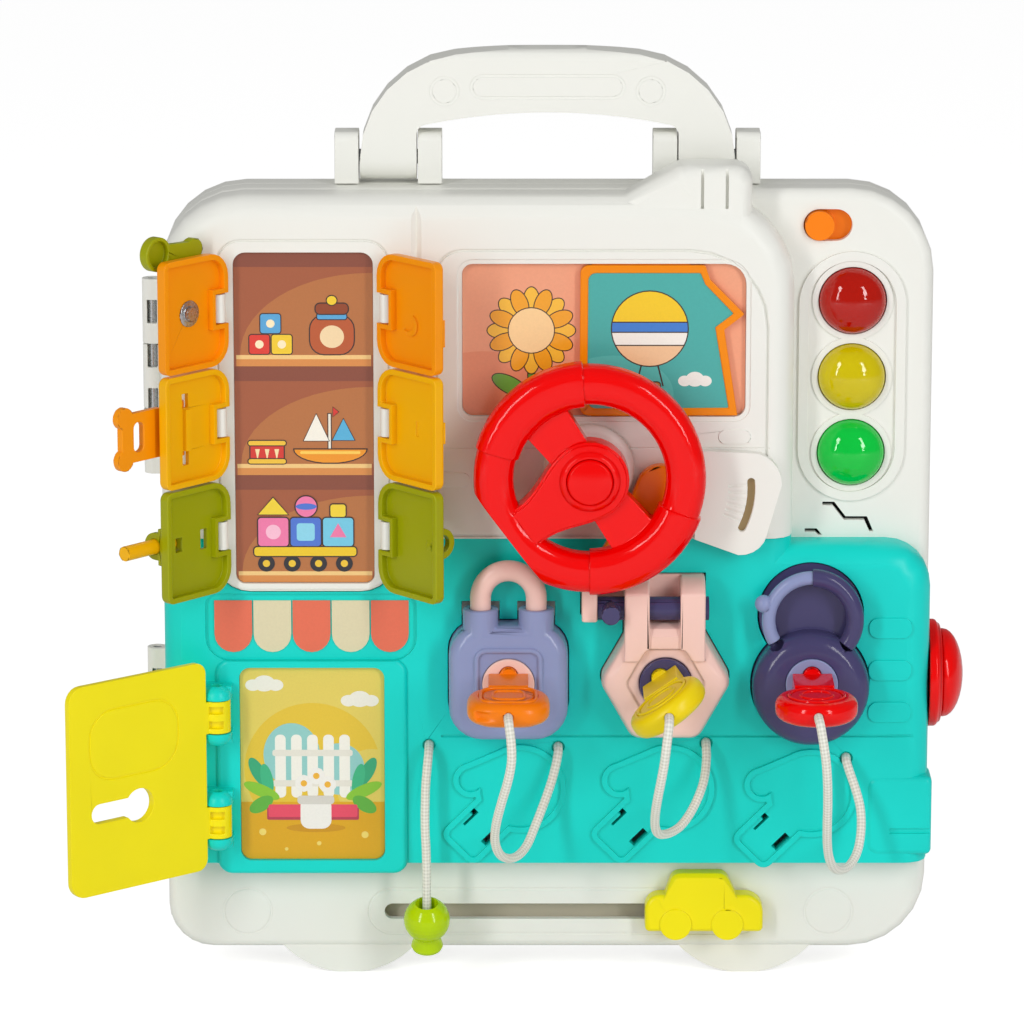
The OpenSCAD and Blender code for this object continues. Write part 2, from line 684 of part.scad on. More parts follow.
module lower_panel() color(panel_teal) in_place() {
    difference() {
        union() {
            intersection() {
                union() {
                    soft([case_left, foot_drop, bus_right, panel_top + 20, 2, 2, 2, 2],
                         base_level, panel_level, soft_edge);
                    soft([bus_right - 20, foot_drop, case_right, panel_top - shoulder_drop, 2, 15, 2, 2],
                         base_level, panel_level, soft_edge);
                }
                block(-case_w, panel_bottom, case_w, panel_top, 0, panel_level + 1);
            }
            soft(house_frame_box, strip_level + 0.1, panel_level + 1.6, 1.6);
            // Bumper that wraps round the side
            soft([case_right - 20.8, foot_drop + 35.6, case_right + 1.2, foot_drop + 63, 4, 2, 2, 4],
                 base_level + 1, panel_level + 0.7, 2);
            for (z = house_barrel_z) house_bracket(z);
        }
        // Hollow back
        difference() {
            union() {
                prism(outline([case_left + wall, panel_bottom + wall, bus_right - wall, panel_top - wall,
                               2, 2, 2, 2]), base_level - 1, panel_level - 5);
                prism(outline([bus_right - 20, panel_bottom + wall, case_right - wall,
                               panel_top - shoulder_drop - wall, 2, 12, 2, 2]),
                      base_level - 1, panel_level - 5);
            }
            prism(outline(apron_box, -fit - wall), base_level - 2, panel_level);
        }
        prism(outline(apron_box, -fit), base_level - 1, panel_level + 1);
        lock_openings(base_level - 1, panel_level + 1);
        prism(outline(house_picture_box, -0.1), panel_level - 0.6, panel_level + 2);
        // Pocket that follows the awning
        prism(outline([house_x - 35.5, awning_z - 11.5, house_x + 35.2, awning_z + 11.5, 4, 4, 8, 8]),
              panel_level - awning_depth, panel_level + 2);
        // Crease across the panel
        block(panel_split + 4, crease_z - 0.4, case_right - 2, crease_z + 0.4,
              panel_level - 0.7, panel_level + 1);
        for (i = [0:3]) peg(cord_hole_x[i], hole_z[i], cord_r + 0.7,
                            panel_level - cord_hole_depth, panel_level + 1);
        // Clips of the key parks
        for (p = park_places) face(panel_level - 6) translate([p[0], p[1], 0]) rotate(225) {
            translate([16, 3.8]) cube([6.6, 2.4, 8]);
            translate([16, -4.8]) cube([6.6, 0.9, 8]);
            translate([16, -6.2]) cube([2, 2.3, 8]);
        }
        // Line in the bumper
        block(case_right - 13, foot_drop + 43.2, case_right + 5, foot_drop + 45,
              panel_level - 0.2, panel_level + 3);
    }
    // Raised outlines of the parked keys
    for (p = park_places) difference() {
        face(panel_level) linear_extrude(1.2) key_park(p);
        face(panel_level - 1) linear_extrude(3) key_park(p, 1.9);
        lock_openings(panel_level - 1, panel_level + 2);
        for (i = [0:3]) peg(cord_hole_x[i], hole_z[i], cord_r + 0.7, panel_level - 1, panel_level + 2);
    }
    // Raised pads at the right
    for (z = [114.7, 100.1, 85.6]) prism(outline([case_right - 20.8, foot_drop + z - 3.5, case_right - 6.4,
        foot_drop + z + 3.5, 3, 3, 3, 3]), panel_level - 1, panel_level + 0.7);
}

module back_plate() color(shell_white) in_place() {
    difference() {
        prism(outline(case_box, wall + fit/2), seam_level, plate_level);
        for (p = boss_places) peg(p[0], p[1], 1.6, seam_level - 1, plate_level + 1);
        for (p = boss_places) peg(p[0], p[1], 3.1, seam_level - 1, seam_level + 1);
        prism(outline(battery_box), seam_level - 1, plate_level + 1);
    }
    // Walls of the battery bay
    difference() {
        prism(outline(battery_box, -1.6), plate_level, plate_level + 8);
        prism(outline(battery_box), plate_level - 1, plate_level + 9);
    }
}

battery_box = [case_left + 26, foot_drop + 44, case_left + 76, foot_drop + 82, 3, 3, 3, 3];

module battery_cover() color(shell_white) in_place() difference() {
    prism(outline(battery_box, fit/2), seam_level, plate_level - 0.4);
    for (i = [0:4]) block(battery_box[0] + 34 + 2*i, battery_box[1] + 12, battery_box[0] + 35 + 2*i,
                          battery_box[3] - 12, seam_level - 0.4 - 1, seam_level + 0.4);
}

module back_screws() color(steel) in_place() for (p = boss_places) difference() {
    union() {
        peg(p[0], p[1], 2.9, seam_level + 0.1, seam_level + 1);
        peg(p[0], p[1], 1.5, seam_level + 0.5, skin_level - 1);
    }
    for (a = [0, 90]) face(seam_level - 1) translate([p[0], p[1], 0]) rotate(a)
        translate([-1.6, -0.35, 0]) cube([3.2, 0.7, 1.6]);
}

module batteries() color("#3A3F44") in_place() for (i = [0:2]) {
    z = battery_box[1] + 7.4 + 11.6*i;
    bar(battery_box[0] + 2.4, battery_box[0] + 46.2, plate_level + 5.35, z, 5.25);
    bar(battery_box[0] + 46.2, battery_box[0] + 47.2, plate_level + 5.35, z, 1.9);
}

module circuit_board() color("#2E7D4F") in_place()
    prism(outline([dome_x - 16, dome_z - 38, dome_x + 14, dome_z + 36, 2, 2, 2, 2]),
          plate_level, plate_level + 1.6);

module light_diodes() color("#F4F4EE") in_place() for (i = [-1:1]) {
    peg(dome_x, dome_z + i*dome_pitch, 2.5, plate_level + 1.6, plate_level + 6);
    peg(dome_x, dome_z + i*dome_pitch, 2.9, plate_level + 1.6, plate_level + 2.6);
}

module speaker() color("#2B2B2E") in_place() difference() {
    peg(dome_x - 4, dome_z - 53, 13, plate_level, plate_level + 5);
    face(plate_level + 3) translate([dome_x - 4, dome_z - 53, 0]) cylinder(r1 = 4, r2 = 11, h = 3);
}

module cupboard_picture() color("#B0643C") in_place()
    prism(outline(cupboard_picture_box), bus_level - 2, bus_level - 2 + picture_t);

module window_picture() color("#F0A583") in_place()
    prism(outline(window_box, 0.1), bus_level - window_depth, bus_level - window_depth + picture_t);

module house_picture() color("#F2D34A") in_place()
    prism(outline(house_picture_box), panel_level - 0.6, panel_level - 0.6 + picture_t);

module awning_stickers() color("#E4694B") in_place() for (i = [-2:2])
    let (x = house_x + i*awning_pitch)
        prism(concat([[x + scallop_r, awning_z + 8.9], [x - scallop_r, awning_z + 8.9]],
                     arc(x, awning_z - 2.6, scallop_r, 180, 360, 10)),
              panel_level - awning_depth, panel_level - awning_depth + picture_t);

// ---- Steering ----

module steering_base() color(shell_white) in_place() {
    stem = wheel_gap - 1.4;
    face(bus_level) translate([wheel_x, wheel_z, 0]) rotate_extrude()
        polygon([[0, 0], [base_ring_r, 0], [base_ring_r, 2.4], [base_ring_r - 1.6, base_ring_h],
                 [10, base_ring_h], [8.5, base_ring_h - 1], [8.5, stem], [0, stem]]);
    peg(wheel_x, wheel_z, spindle_r + 3, base_level + 2, bus_level);
    peg(wheel_x, wheel_z, spindle_r, bus_level + stem, rim_level + 7);
}

module spoke(angle, inner, outer) rotate(angle)
    polygon([[6, -inner/2], [wheel_r - rim_band + 3, -outer/2],
             [wheel_r - rim_band + 3, outer/2], [6, inner/2]]);

// The raised plate: a round hub that runs out into the wide spoke
function spoke_half(reach) = spoke_foot + (hub_r - spoke_foot)*(1 + cos(180*min(reach/24, 1)))/2;
function plate(inset) = let (step = (wheel_r - rim_band + 2)/10)
    concat(arc(0, 0, hub_r - inset, 0, 180, 20),
           [for (i = [1:10]) [inset - spoke_half(i*step), -i*step]],
           [for (i = [10:-1:1]) [spoke_half(i*step) - inset, -i*step]]);

// A grip over a stretch of the rim, a little thicker than the rim
module grip(from_angle, sweep) rotate(from_angle) rotate_extrude(angle = sweep) polygon(concat(
    arc(wheel_r - 2.8, 3.2, 3.6, -90, 0, 5), arc(wheel_r - 4.2, rim_t - 4.3, 5, 0, 90, 6),
    arc(wheel_r - rim_band + 4.2, rim_t - 4.3, 5, 90, 180, 6),
    arc(wheel_r - rim_band + 2.2, 2.6, 3, 180, 270, 4)));

module steering_wheel() color(wheel_red) in_place() face(rim_level) translate([wheel_x, wheel_z, 0])
    rotate(wheel_turn) difference() {
        union() {
            // Rim with its flat foot
            intersection() {
                rotate_extrude() polygon(concat(
                    arc(wheel_r - 3.6, 3.6, 3.6, -90, 0, 5), arc(wheel_r - 5, rim_t - 5, 5, 0, 90, 6),
                    arc(wheel_r - rim_band + 5, rim_t - 5, 5, 90, 180, 6),
                    arc(wheel_r - rim_band + 3, 3, 3, 180, 270, 4)));
                translate([-50, 5.2 - wheel_r, -1]) cube([100, 100, 30]);
            }
            grip(-37, 70);
            grip(147, 70);
            linear_extrude(rim_t - 3.5) {
                spoke(0, 13, 17);
                spoke(180, 13, 17);
            }
            linear_extrude(rim_t - 1.6) polygon(plate(0));
            linear_extrude(rim_t - 0.7) polygon(plate(0.9));
            rotate_extrude() polygon([[0, 0], [horn_r + 2.4, 0], [horn_r + 2.4, rim_t - 0.6],
                                      [horn_r + 1.2, rim_t + 0.4], [0, rim_t + 0.4]]);
        }
        translate([0, 0, -1]) cylinder(r = spindle_r + run, h = 8.4);
        translate([0, 0, 7.4]) cylinder(r = horn_r + run + 0.05, h = 10);
    }

module horn_button() color(wheel_red) in_place() face(rim_level + 9) translate([wheel_x, wheel_z, 0])
    rotate_extrude() polygon(concat([[0, 0], [horn_r, 0]], arc(horn_r - 1.6, rim_t - 8.4, 1.6, 0, 60, 4),
                                    [[0, rim_t - 6]]));

// Turns about its pin beside the spindle; its tip hangs down behind the rim
lever_bend = [-7.6, -10.6];
lever_tip = [-16.4, -23.1];

module indicator_lever() color(key_orange) in_place() {
    face(bus_level + 0.4) translate([lever_x, lever_z, 0]) {
        hull() {
            cylinder(r = 8.4, h = 5, $fn = 32);
            translate(lever_bend) cylinder(r = 5.2, h = 5, $fn = 32);
        }
        hull() {
            translate(lever_bend) cylinder(r = 5.2, h = 5, $fn = 32);
            translate(lever_tip) cylinder(r = 4, h = 5, $fn = 32);
        }
    }
    peg(lever_x, lever_z, lever_pin_r, base_level + 4, bus_level + 0.4);
}

// ---- Lights, switch, side button ----

module lens(i) face(skin_level - dome_flange) translate([dome_x, dome_z + i*dome_pitch, 0]) rotate_extrude() {
    reach = wall + dome_flange;
    polygon(concat([[dome_r - lens_t, 0], [dome_r + 1.4, 0], [dome_r + 1.4, dome_flange - 0.1],
                    [dome_r, dome_flange - 0.1]],
                   [for (k = [0:8]) [dome_r*cos(k*11.25), reach + dome_rise*sin(k*11.25)]],
                   [for (k = [8:-1:0]) [(dome_r - lens_t)*cos(k*11.25),
                                        reach + (dome_rise - lens_t)*sin(k*11.25)]]));
}

module red_lens() color("#D8200C") in_place() lens(1);
module amber_lens() color("#E6C200") in_place() lens(0);
module green_lens() color("#00C83C") in_place() lens(-1);

module power_switch() color(key_orange) in_place() {
    peg(switch_x, switch_z, switch_r, skin_level - 0.3, base_level + 2.2);
    face(skin_level - 1.6) linear_extrude(1.4) capsule(switch_x - 0.4, switch_z, 29, 13);
}

// Everything at the side of the case is drawn upright and turned outwards
module at_side() translate([case_right, -side_level, side_z]) rotate([0, 90, 0]) children();

module side_bezel() color(wheel_red) in_place() at_side() rotate_extrude()
    polygon(concat([[side_stem_r + 1, seam], [side_bezel_r + 0.8, seam], [side_bezel_r + 0.8, 1.8]],
                   arc(side_bezel_r - 0.6, 2.2, 1.4, 0, 60, 3), [[side_bezel_r - 0.4, side_bezel_h - 1]],
                   arc(side_bezel_r - 1.4, side_bezel_h - 1, 1, 0, 90, 4),
                   [[side_dome_r + 0.3, side_bezel_h], [side_dome_r + 0.3, 1.2], [side_stem_r + 1, 1.2]]));

module side_button() color(wheel_red) in_place() at_side() {
    rotate_extrude() polygon(concat([[0, 4.4], [side_dome_r, 4.4], [side_dome_r, 5.6]],
        [for (k = [1:8]) [side_dome_r*cos(k*11.25), 5.6 + (side_rise - 5.6)*sin(k*11.25)]]));
    translate([0, 0, -8]) cylinder(r = side_stem_r, h = 12.5);
}

// ---- Sliders ----

function cabin(inset) = concat([[-13.8, 6]], arc(-8, 11.4, 3.8 - inset, 150, 90, 5),
                               arc(4.8, 11.4, 3.8 - inset, 90, 30, 5), [[11.6, 6]]);

module car_slider() color(door_yellow) in_place() {
    end = car_len/2;
    back = strip_level + fit;
    front = back + car_t;
    slot_back = strip_level - wall;
    translate([car_x, 0, strip_z]) {
        // Body, cabin and wheels
        soft([-end, -5.2, end, 7.8, 5, 6, 1.6, 1.6], back, front, 1.6);
        hull() {
            prism(cabin(0), back, front - 1.6);
            prism(cabin(1.2), back, front);
        }
        for (x = [-9.6, 7.9]) peg(x, -2.4, 5.4, back, front + 0.7);
        // Stem and foot in the slot
        block(-car_stem/2, -slot_h/2 + 0.1, car_stem/2, slot_h/2 - 0.1, slot_back - 1, back);
        block(-car_stem/2 - 2, -5, car_stem/2 + 2, 5, slot_back - 2.4, slot_back - 0.3);
    }
}

// The sliding pane with its pointed right edge
module window_slider() color(amber) in_place() {
    right = window_box[2] - 0.6;
    shape = concat([[slider_left, slider_foot + 3]], arc(slider_left + 3, slider_top - 2.8, 2.8, 170, 90, 4),
                   [[right - 13, slider_top], [right - 11.4, slider_top - 4.8], [right, slider_top - 16.4],
                    [right - 6.6, slider_top - 21.6], [right - 2, slider_foot]],
                   arc(slider_left + 3, slider_foot + 3, 3, 270, 190, 3));
    inner = concat([[slider_left + 2.6, slider_foot + 4]],
                   arc(slider_left + 5.4, slider_top - 5.2, 2.6, 170, 90, 4),
                   [[right - 14.6, slider_top - 2.6], [right - 13, slider_top - 6.4],
                    [right - 3.6, slider_top - 16.2], [right - 9.6, slider_top - 20.8],
                    [right - 5, slider_foot + 2.6]],
                   arc(slider_left + 5.4, slider_foot + 5, 2.6, 270, 190, 3));
    difference() {
        union() {
            prism(shape, slider_back, slider_back + slider_t);
            block(slider_left + 4, slider_foot - slider_lip, right - 18, slider_top + slider_lip,
                  slider_back, slider_back + slider_lip);
        }
        prism(inner, slider_back + slider_t - 0.8, slider_back + slider_t + 1);
    }
}

// ---- Cupboard doors ----

// Drawn closed, hinge line at the origin, opening towards +X; positive level is outside
door_back = -door_rim + 0.2;
door_front = door_skin + 0.2;

module small_door_shell() {
    b = [-door_edge, -small_door_h/2, small_door_w, small_door_h/2, 8, 2.6, 2.6, 8];
    difference() {
        soft(b, door_back, door_front, 1.2);
        prism(outline(b, 1.9), door_back - 1, 0.2);
        block(-door_edge - 1, -notch_h/2, 3.4, notch_h/2, -10, 10);
    }
    // Walls and pins beside the hinge barrel
    for (side = [-1, 1]) mirror([0, 0, side < 0 ? 1 : 0]) {
        block(-door_edge + 0.3, notch_h/2, 3.4, notch_h/2 + 1.6, door_back, 0.4);
        block(3.4, -0.5, 4.8, notch_h/2 + 1.6, door_back, 0.4);
        post(0, 0, hinge_pin_r, notch_h/2 - 2.2, notch_h/2 + 1);
    }
}

// Puts a closed door drawing on its hinge line and opens it
module hang(side, row, open = small_door_open)
    translate([cupboard_x + side*cupboard_w/2, -door_axis_level, cupboard_z + row*small_door_pitch])
        mirror([side > 0 ? 1 : 0, 0, 0]) rotate([0, 0, -open]) children();

module staple(s) difference() {
    union() {
        bar(s - 1.2, s + 1.2, door_front + 3.2, 0, 5.2);
        block(s - 1.2, -5.2, s + 1.2, 5.2, door_front - 0.5, door_front + 3.2);
    }
    bar(s - 5, s + 5, door_front + 3.2, 0, slide_r + 0.5);
}

module door_top_left() color(door_orange) in_place() hang(-1, 1) difference() {
    union() {
        small_door_shell();
        peg(13.7, 0, 3.4, 1, door_front + latch_gap);
    }
    peg(13.7, 0, 1.3 + run, -5, 10);
}
latch_gap = 1.4;

module door_middle_left() color("#EFA000") in_place() hang(-1, 0) {
    difference() {
        small_door_shell();
        for (z = [-9.6, 9.6]) block(14.6, z - 2.4, 17.4, z + 2.4, -5, 5);
    }
    for (side = [-1, 1]) mirror([0, 0, side < 0 ? 1 : 0])
        block(13.6, 12.4, 18.4, 15, door_front - 0.5, door_front + 5);
    post(16, door_front + 2.9, 1.5, -13, 13);
    block(14.8, -7, 17.2, 7, -1.4, 0.5);
}

module door_bottom_left() color(olive) in_place() hang(-1, -1) {
    difference() {
        small_door_shell();
        block(6.6, -3.4, 9.6, 3.4, -5, 5);
        block(18.4, -2.4, 21.4, 2.4, -5, 5);
    }
    bolt_guide(25.4);
    bolt_guide(17.6);
}

module bolt_guide(s) difference() {
    union() {
        bar(s - 1.1, s + 1.1, door_front + 3.2, 0, 4.6);
        block(s - 1.1, -6.2, s + 1.1, 6.2, door_front - 0.5, door_front + 1.6);
        block(s - 1.1, -4.6, s + 1.1, 4.6, door_front - 0.5, door_front + 3.2);
    }
    bar(s - 5, s + 5, door_front + 3.2, 0, slide_r + run);
}
slide_r = 2.5;

module door_top_right() color(door_orange) in_place() hang(1, 1) {
    small_door_shell();
    block(24, -9.6, 26.4, -0.6, door_front - 0.5, door_front + 0.9);
    difference() {
        peg(12.4, -4, 3.6, -0.6, 0.4);
        peg(11, -2.8, 3.4, -2, 1);
    }
}

module door_middle_right() color("#EFA000") in_place() hang(1, 0) {
    difference() {
        small_door_shell();
        block(14.6, -2.6, 16, 2.6, -5, 0.6);
    }
    block(24.4, -3.6, 26.2, 3.6, door_front - 0.5, door_front + 1.2);
}

module door_bottom_right() color(olive) in_place() hang(1, -1) {
    small_door_shell();
    staple(21);
}

module turn_latch() color(olive) in_place() hang(-1, 1) {
    from = door_front + latch_gap + 0.1;
    difference() {
        union() {
            hull() {
                peg(13.7, 0, 4.2, from, from + 2.4);
                peg(15.4, 18, 2.6, from, from + 2.4);
            }
            hull() {
                peg(7.2, 20.2, 2.6, from, from + 2.4);
                peg(24, 20.6, 3, from, from + 2.4);
            }
            peg(24, 20.6, 5.7, from, from + 3.4);
            peg(7.2, 20.2, 3.6, from, from + 3);
        }
        peg(24, 20.6, 4.4, from - 1, from + 2);
        peg(13.7, 0, 1.3 + run, from - 1, from + 5);
    }
}

module latch_screw() color(steel) in_place() hang(-1, 1) {
    peg(13.7, 0, 1.3, -0.8, door_front + latch_gap + 3.6);
    peg(13.7, 0, 4.4, -0.3, 0.2);
    peg(13.7, 0, 2.5, -1.5, -0.2);
    peg(13.7, 0, 2.6, door_front + latch_gap + 2.6, door_front + latch_gap + 3.6);
}

module hasp() color(door_orange) in_place() hang(-1, 0) difference() {
    level = door_front + 2.9;
    union() {
        post(16, level, 2.8, -9.2, 9.2);
        block(16, -6.4, 24, 6.4, level - 1.2, level + 1.2);
        prism(outline([21.6, -8.2, 42, 8.2, 3, 5, 5, 3]), level - 1.2, level + 1.2);
        for (z = [-7, 7]) peg(40.4, z, 3.6, level - 1.2, level + 1.2);
    }
    post(16, level, 1.5 + run, -12, 12);
    prism(outline([32, -5, 36.6, 5, 2, 2, 2, 2]), level - 5, level + 5);
}

module slide_bolt() color(amber) in_place() hang(-1, -1) {
    bar(13, 40.5, door_front + 3.2, 0, slide_r);
    bar(12.6, 15.8, door_front + 3.2, 0, 3);
}

// ---- House door ----

module house_bracket(z) for (side = [-1, 1]) let (
        near = z + side*(house_barrel_len/2 + 0.3), foot = side < 0 ? near - 4 : near) difference() {
    union() {
        translate([house_axis_x, -house_axis_level, near]) mirror([0, 0, side < 0 ? 1 : 0]) rotate_extrude()
            polygon(concat([[0, 0], [house_bracket_r, 0]], arc(house_bracket_r - 4, 0.6, 4, 0, 90, 6),
                           [[0, 4.6]]));
        block(house_axis_x - house_bracket_r, foot, house_axis_x + house_bracket_r, foot + 4,
              panel_level - 2, house_axis_level);
    }
    post(house_axis_x, house_axis_level, house_pin_r + run, z - 12, z + 12);
}

module house_door() color(door_yellow) in_place() translate([house_axis_x, -house_axis_level, house_z])
    rotate([0, 0, -house_door_open]) {
        b = [5.6, -house_door_h/2, house_door_w, house_door_h/2, 4, 5.5, 5.5, 4];
        difference() {
            union() {
                soft(b, -house_door_t/2, house_door_t/2, 1);
                for (z = house_barrel_z) {
                    h = z - house_z;
                    difference() {
                        union() {
                            post(0, 0, house_barrel_r, h - house_barrel_len/2, h + house_barrel_len/2);
                            block(0, h - house_barrel_len/2, 7.5, h + house_barrel_len/2, -1.5, 1.5);
                        }
                        for (s = [-1, 1]) rotate([0, 0, house_door_open])
                            translate([-2.4, -house_barrel_r - 1, h + s*2.5 - 1.3]) cube([4.8, 3.2, 2.6]);
                    }
                    post(0, 0, house_pin_r, h - house_barrel_len/2 - 3.4, h + house_barrel_len/2 + 3.4);
                }
            }
            // Keyhole
            peg(33.4, -8.4, 5.8, -5, 5);
            face(-5) linear_extrude(10) capsule(43.5, -8.4, 19, 6.8);
            // Shallow inner pad
            groove([17, 2.4, 54, 27, 10, 10, 10, 10], 0.8, -house_door_t/2 - 1, -house_door_t/2 + 0.4);
        }
    }

// ---- Locks ----

// A hexagon with round corners, points left and right
function hex_outline(r, corner = 5) = [for (i = [0:5], p = arc((r - corner)*cos(60*i), (r - corner)*sin(60*i),
    corner, 60*i - 30, 60*i + 30, 5)) [lock_two_x + p[0], lock_z + 0.1 + p[1]*1.03]];

module lock_one_body() color(lilac) in_place() difference() {
    union() {
        soft(lock_one_box, base_level, lock_level, 4);
        for (side = [-1, 1]) post(lock_one_x + side*shackle_r, shackle_level, cup_r,
                                  lock_z + 8, shackle_z - 3.4);
        groove([lock_one_x - 11.4, lock_z - 12.4, lock_one_x + 11.4, lock_z + 12.4, 4, 4, 4, 4], 1.6,
               lock_level - 1, lock_level + 1);
    }
    for (side = [-1, 1]) post(lock_one_x + side*shackle_r, shackle_level, shackle_tube + run,
                              lock_z + 8.6, shackle_z);
    peg(lock_one_x, lock_z, cylinder_r + run, lock_level - 8, lock_level + 3);
}

module lock_two_body() color(pink) in_place() difference() {
    union() {
        hull() {
            prism(hex_outline(hex_r), base_level, lock_level - 4);
            prism(hex_outline(hex_r - 1.2), base_level, lock_level - 1.2);
            prism(hex_outline(hex_r - 4), base_level, lock_level);
        }
        for (x = [-13.8, 4.8]) hull() {
            block(lock_two_x + x, lock_z + 8, lock_two_x + x + 8.3, lock_z + 35, base_level, bolt_level);
            block(lock_two_x + x, lock_z + 8, lock_two_x + x + 8.3, lock_z + 31,
                  base_level, bolt_level + 6.2);
        }
        block(lock_two_x - 5.6, lock_z + 8, lock_two_x + 4.9, lock_z + 35, base_level, panel_level + 0.5);
        block(lock_two_x - 28, lock_z + 21.2, lock_two_x - 22.8, lock_z + 35, base_level, bolt_level + 5);
        block(lock_two_x - 22.9, lock_z + 21.2, lock_two_x - 13.7, lock_z + 35, base_level, panel_level - 3);
    }
    bar(lock_two_x - 30, lock_two_x + 15, bolt_level, ear_two_z, bolt_r + run);
    peg(lock_two_x, lock_z, cylinder_r + run, lock_level - 8, lock_level + 3);
    prism(hex_outline(hex_r*0.6, 2.4), lock_level - 1.2, lock_level + 3);
}

module ring_part(tube, bore, from_angle, sweep) face(ring_level) translate([lock_three_x, ring_z, 0])
    rotate(from_angle) rotate_extrude(angle = sweep) translate([ring_r, 0]) difference() {
        circle(tube, $fn = 32);
        if (bore > 0) circle(bore, $fn = 32);
    }

module lock_three_body() color(navy) in_place() {
    body_z = lock_z - 2.8;
    difference() {
        union() {
            face(base_level) translate([lock_three_x, body_z, 0]) rotate_extrude()
                polygon(concat([[0, 0], [lock_three_r, 0]],
                               arc(lock_three_r - 6, panel_rise + lock_rise - 6, 6, 0, 90, 5),
                               [[0, panel_rise + lock_rise]]));
            peg(lock_three_x, ring_z, ring_r - 1.5, base_level, panel_level + 3);
            peg(lock_three_x, ring_z, ring_r + ring_tube, base_level, panel_level - 1);
        }
        peg(lock_three_x, lock_z, cylinder_r + run, lock_level - 8, lock_level + 3);
        // Channel for the moving arm of the ring
        ring_part(2.3 + 0.25, 0, -60, 350);
    }
    difference() {
        ring_part(ring_tube, 2.45, -50, 140);
        peg(lock_three_x, body_z, lock_three_r - 0.5, panel_level, lock_level);
    }
}

// Three round lobes, the section of every key
module trefoil(r, reach) for (a = [90, 210, 330]) rotate(a) translate([reach, 0]) circle(r, $fn = 24);

module lock_cylinder(x, turn, tint) color(tint) in_place() face(lock_level - 7.8) translate([x, lock_z, 0])
    rotate(turn) difference() {
        cylinder(r = cylinder_r, h = 8.6);
        translate([0, 0, 2]) linear_extrude(8) trefoil(3.1, 3.2);
    }

module lock_one_cylinder() lock_cylinder(lock_one_x, 0, pink);
module lock_two_cylinder() lock_cylinder(lock_two_x, key_two_turn, navy);
module lock_three_cylinder() lock_cylinder(lock_three_x, 0, lilac);

module key(x, turn, tint) color(tint) in_place() face(0) translate([x, lock_z, 0]) rotate(turn) difference() {
    bow_middle = [0, 0, bow_level];
    union() {
        translate([0, 0, lock_level - 5.6]) linear_extrude(neck_level - lock_level + 6.6) intersection() {
            trefoil(2.95, 3.2);
            circle(6.1);
        }
        translate([-6.6, -bow_t/2, neck_level]) cube([13.2, bow_t, neck_len]);
        translate(bow_middle) rotate([90, 0, 0]) translate([0, 0, -bow_t/2]) rotate_extrude()
            polygon(concat([[0, 0]], arc(bow_r - bow_edge, bow_edge, bow_edge, -90, 0, 5),
                           arc(bow_r - bow_edge, bow_t - bow_edge, bow_edge, 0, 90, 5), [[0, bow_t]]));
    }
    for (side = [-1, 1]) translate(bow_middle) rotate([90, 0, 0]) translate([0, 0, side*bow_t/2])
        rotate_extrude() translate([8.4, -0.6]) square([1.4, 1.2]);
    translate([0, 0, key_front - cord_seat]) cylinder(r = cord_r + 0.1, h = cord_seat + 1);
}

module key_one() key(lock_one_x, 0, key_orange);
module key_two() key(lock_two_x, key_two_turn, key_yellow);
module key_three() key(lock_three_x, 0, key_red);

module shackle_one() color(pink) in_place() {
    for (side = [-1, 1]) post(lock_one_x + side*shackle_r, shackle_level, shackle_tube,
                              lock_z + 10, shackle_z);
    face(shackle_level) translate([lock_one_x, shackle_z, 0]) rotate_extrude(angle = 180)
        translate([shackle_r, 0]) circle(shackle_tube, $fn = 32);
}

module bolt_two() color(navy) in_place() {
    bar(lock_two_x - 27, lock_two_x + 14.4, bolt_level, ear_two_z, bolt_r);
    peg(lock_two_x - 18.4, ear_two_z, 3.1, bolt_level, bolt_level + 11);
}

module shackle_three() color(lilac) in_place() {
    ring_part(2.3, 0, 80, 130);
    face(ring_level) translate([lock_three_x, ring_z, 0]) rotate(161)
        translate([ring_r + 2.6, 0, 0]) sphere(3, $fn = 32);
}

// ---- Cords ----

function unit(v) = v/norm(v);

// Rings of a tube round a route, carried along without twisting
function tube_points(route, r, sides = 8) = let (
    last = len(route) - 1,
    ahead = [for (i = [0:last]) unit(route[min(i + 1, last)] - route[max(i - 1, 0)])],
    side = [for (i = 0, s = unit(cross(ahead[0], [0.31, 0.2, 0.93])); i <= last;
             i = i + 1, s = i > last ? s : unit(s - (s*ahead[i])*ahead[i])) s])
    [for (i = [0:last], k = [0:sides - 1]) let (up = cross(ahead[i], side[i]), a = 360*k/sides)
        route[i] + r*cos(a)*side[i] + r*sin(a)*up];

function tube_faces(rings, sides = 8) = concat(
    [[for (k = [0:sides - 1]) k]],
    [for (i = [0:rings - 2], k = [0:sides - 1]) let (n = (k + 1)%sides)
        [i*sides + k, (i + 1)*sides + k, (i + 1)*sides + n, i*sides + n]],
    [[for (k = [sides - 1:-1:0]) (rings - 1)*sides + k]]);

function in_case(route) = [for (p = route) [p[0], -p[1], p[2]]];

module cord(route) color(cord_white) in_place()
    polyhedron(tube_points(in_case(route), cord_r), tube_faces(len(route)), convexity = 6);

module key_cord_one() cord(route_one);
module key_cord_two() cord(route_two);
module key_cord_three() cord(route_three);
module bead_cord() cord(route_bead);

module bead() color("#A8D800") in_place() translate([bead_at[0], -bead_at[1], bead_at[2]])
    rotate([bead_tilt, 0, 0]) difference() {
    rotate_extrude() polygon(concat([[0, -11.4], [5, -11.4], [5.4, -10.4], [4.6, -7.4]],
        arc(0, 0, bead_r, -54, 84, 12), [[0, bead_r - 0.1]]));
    // Open mouth that takes the cord
    translate([0, 0, 2.6]) cylinder(r1 = 3.2, r2 = 4.4, h = bead_r);
}

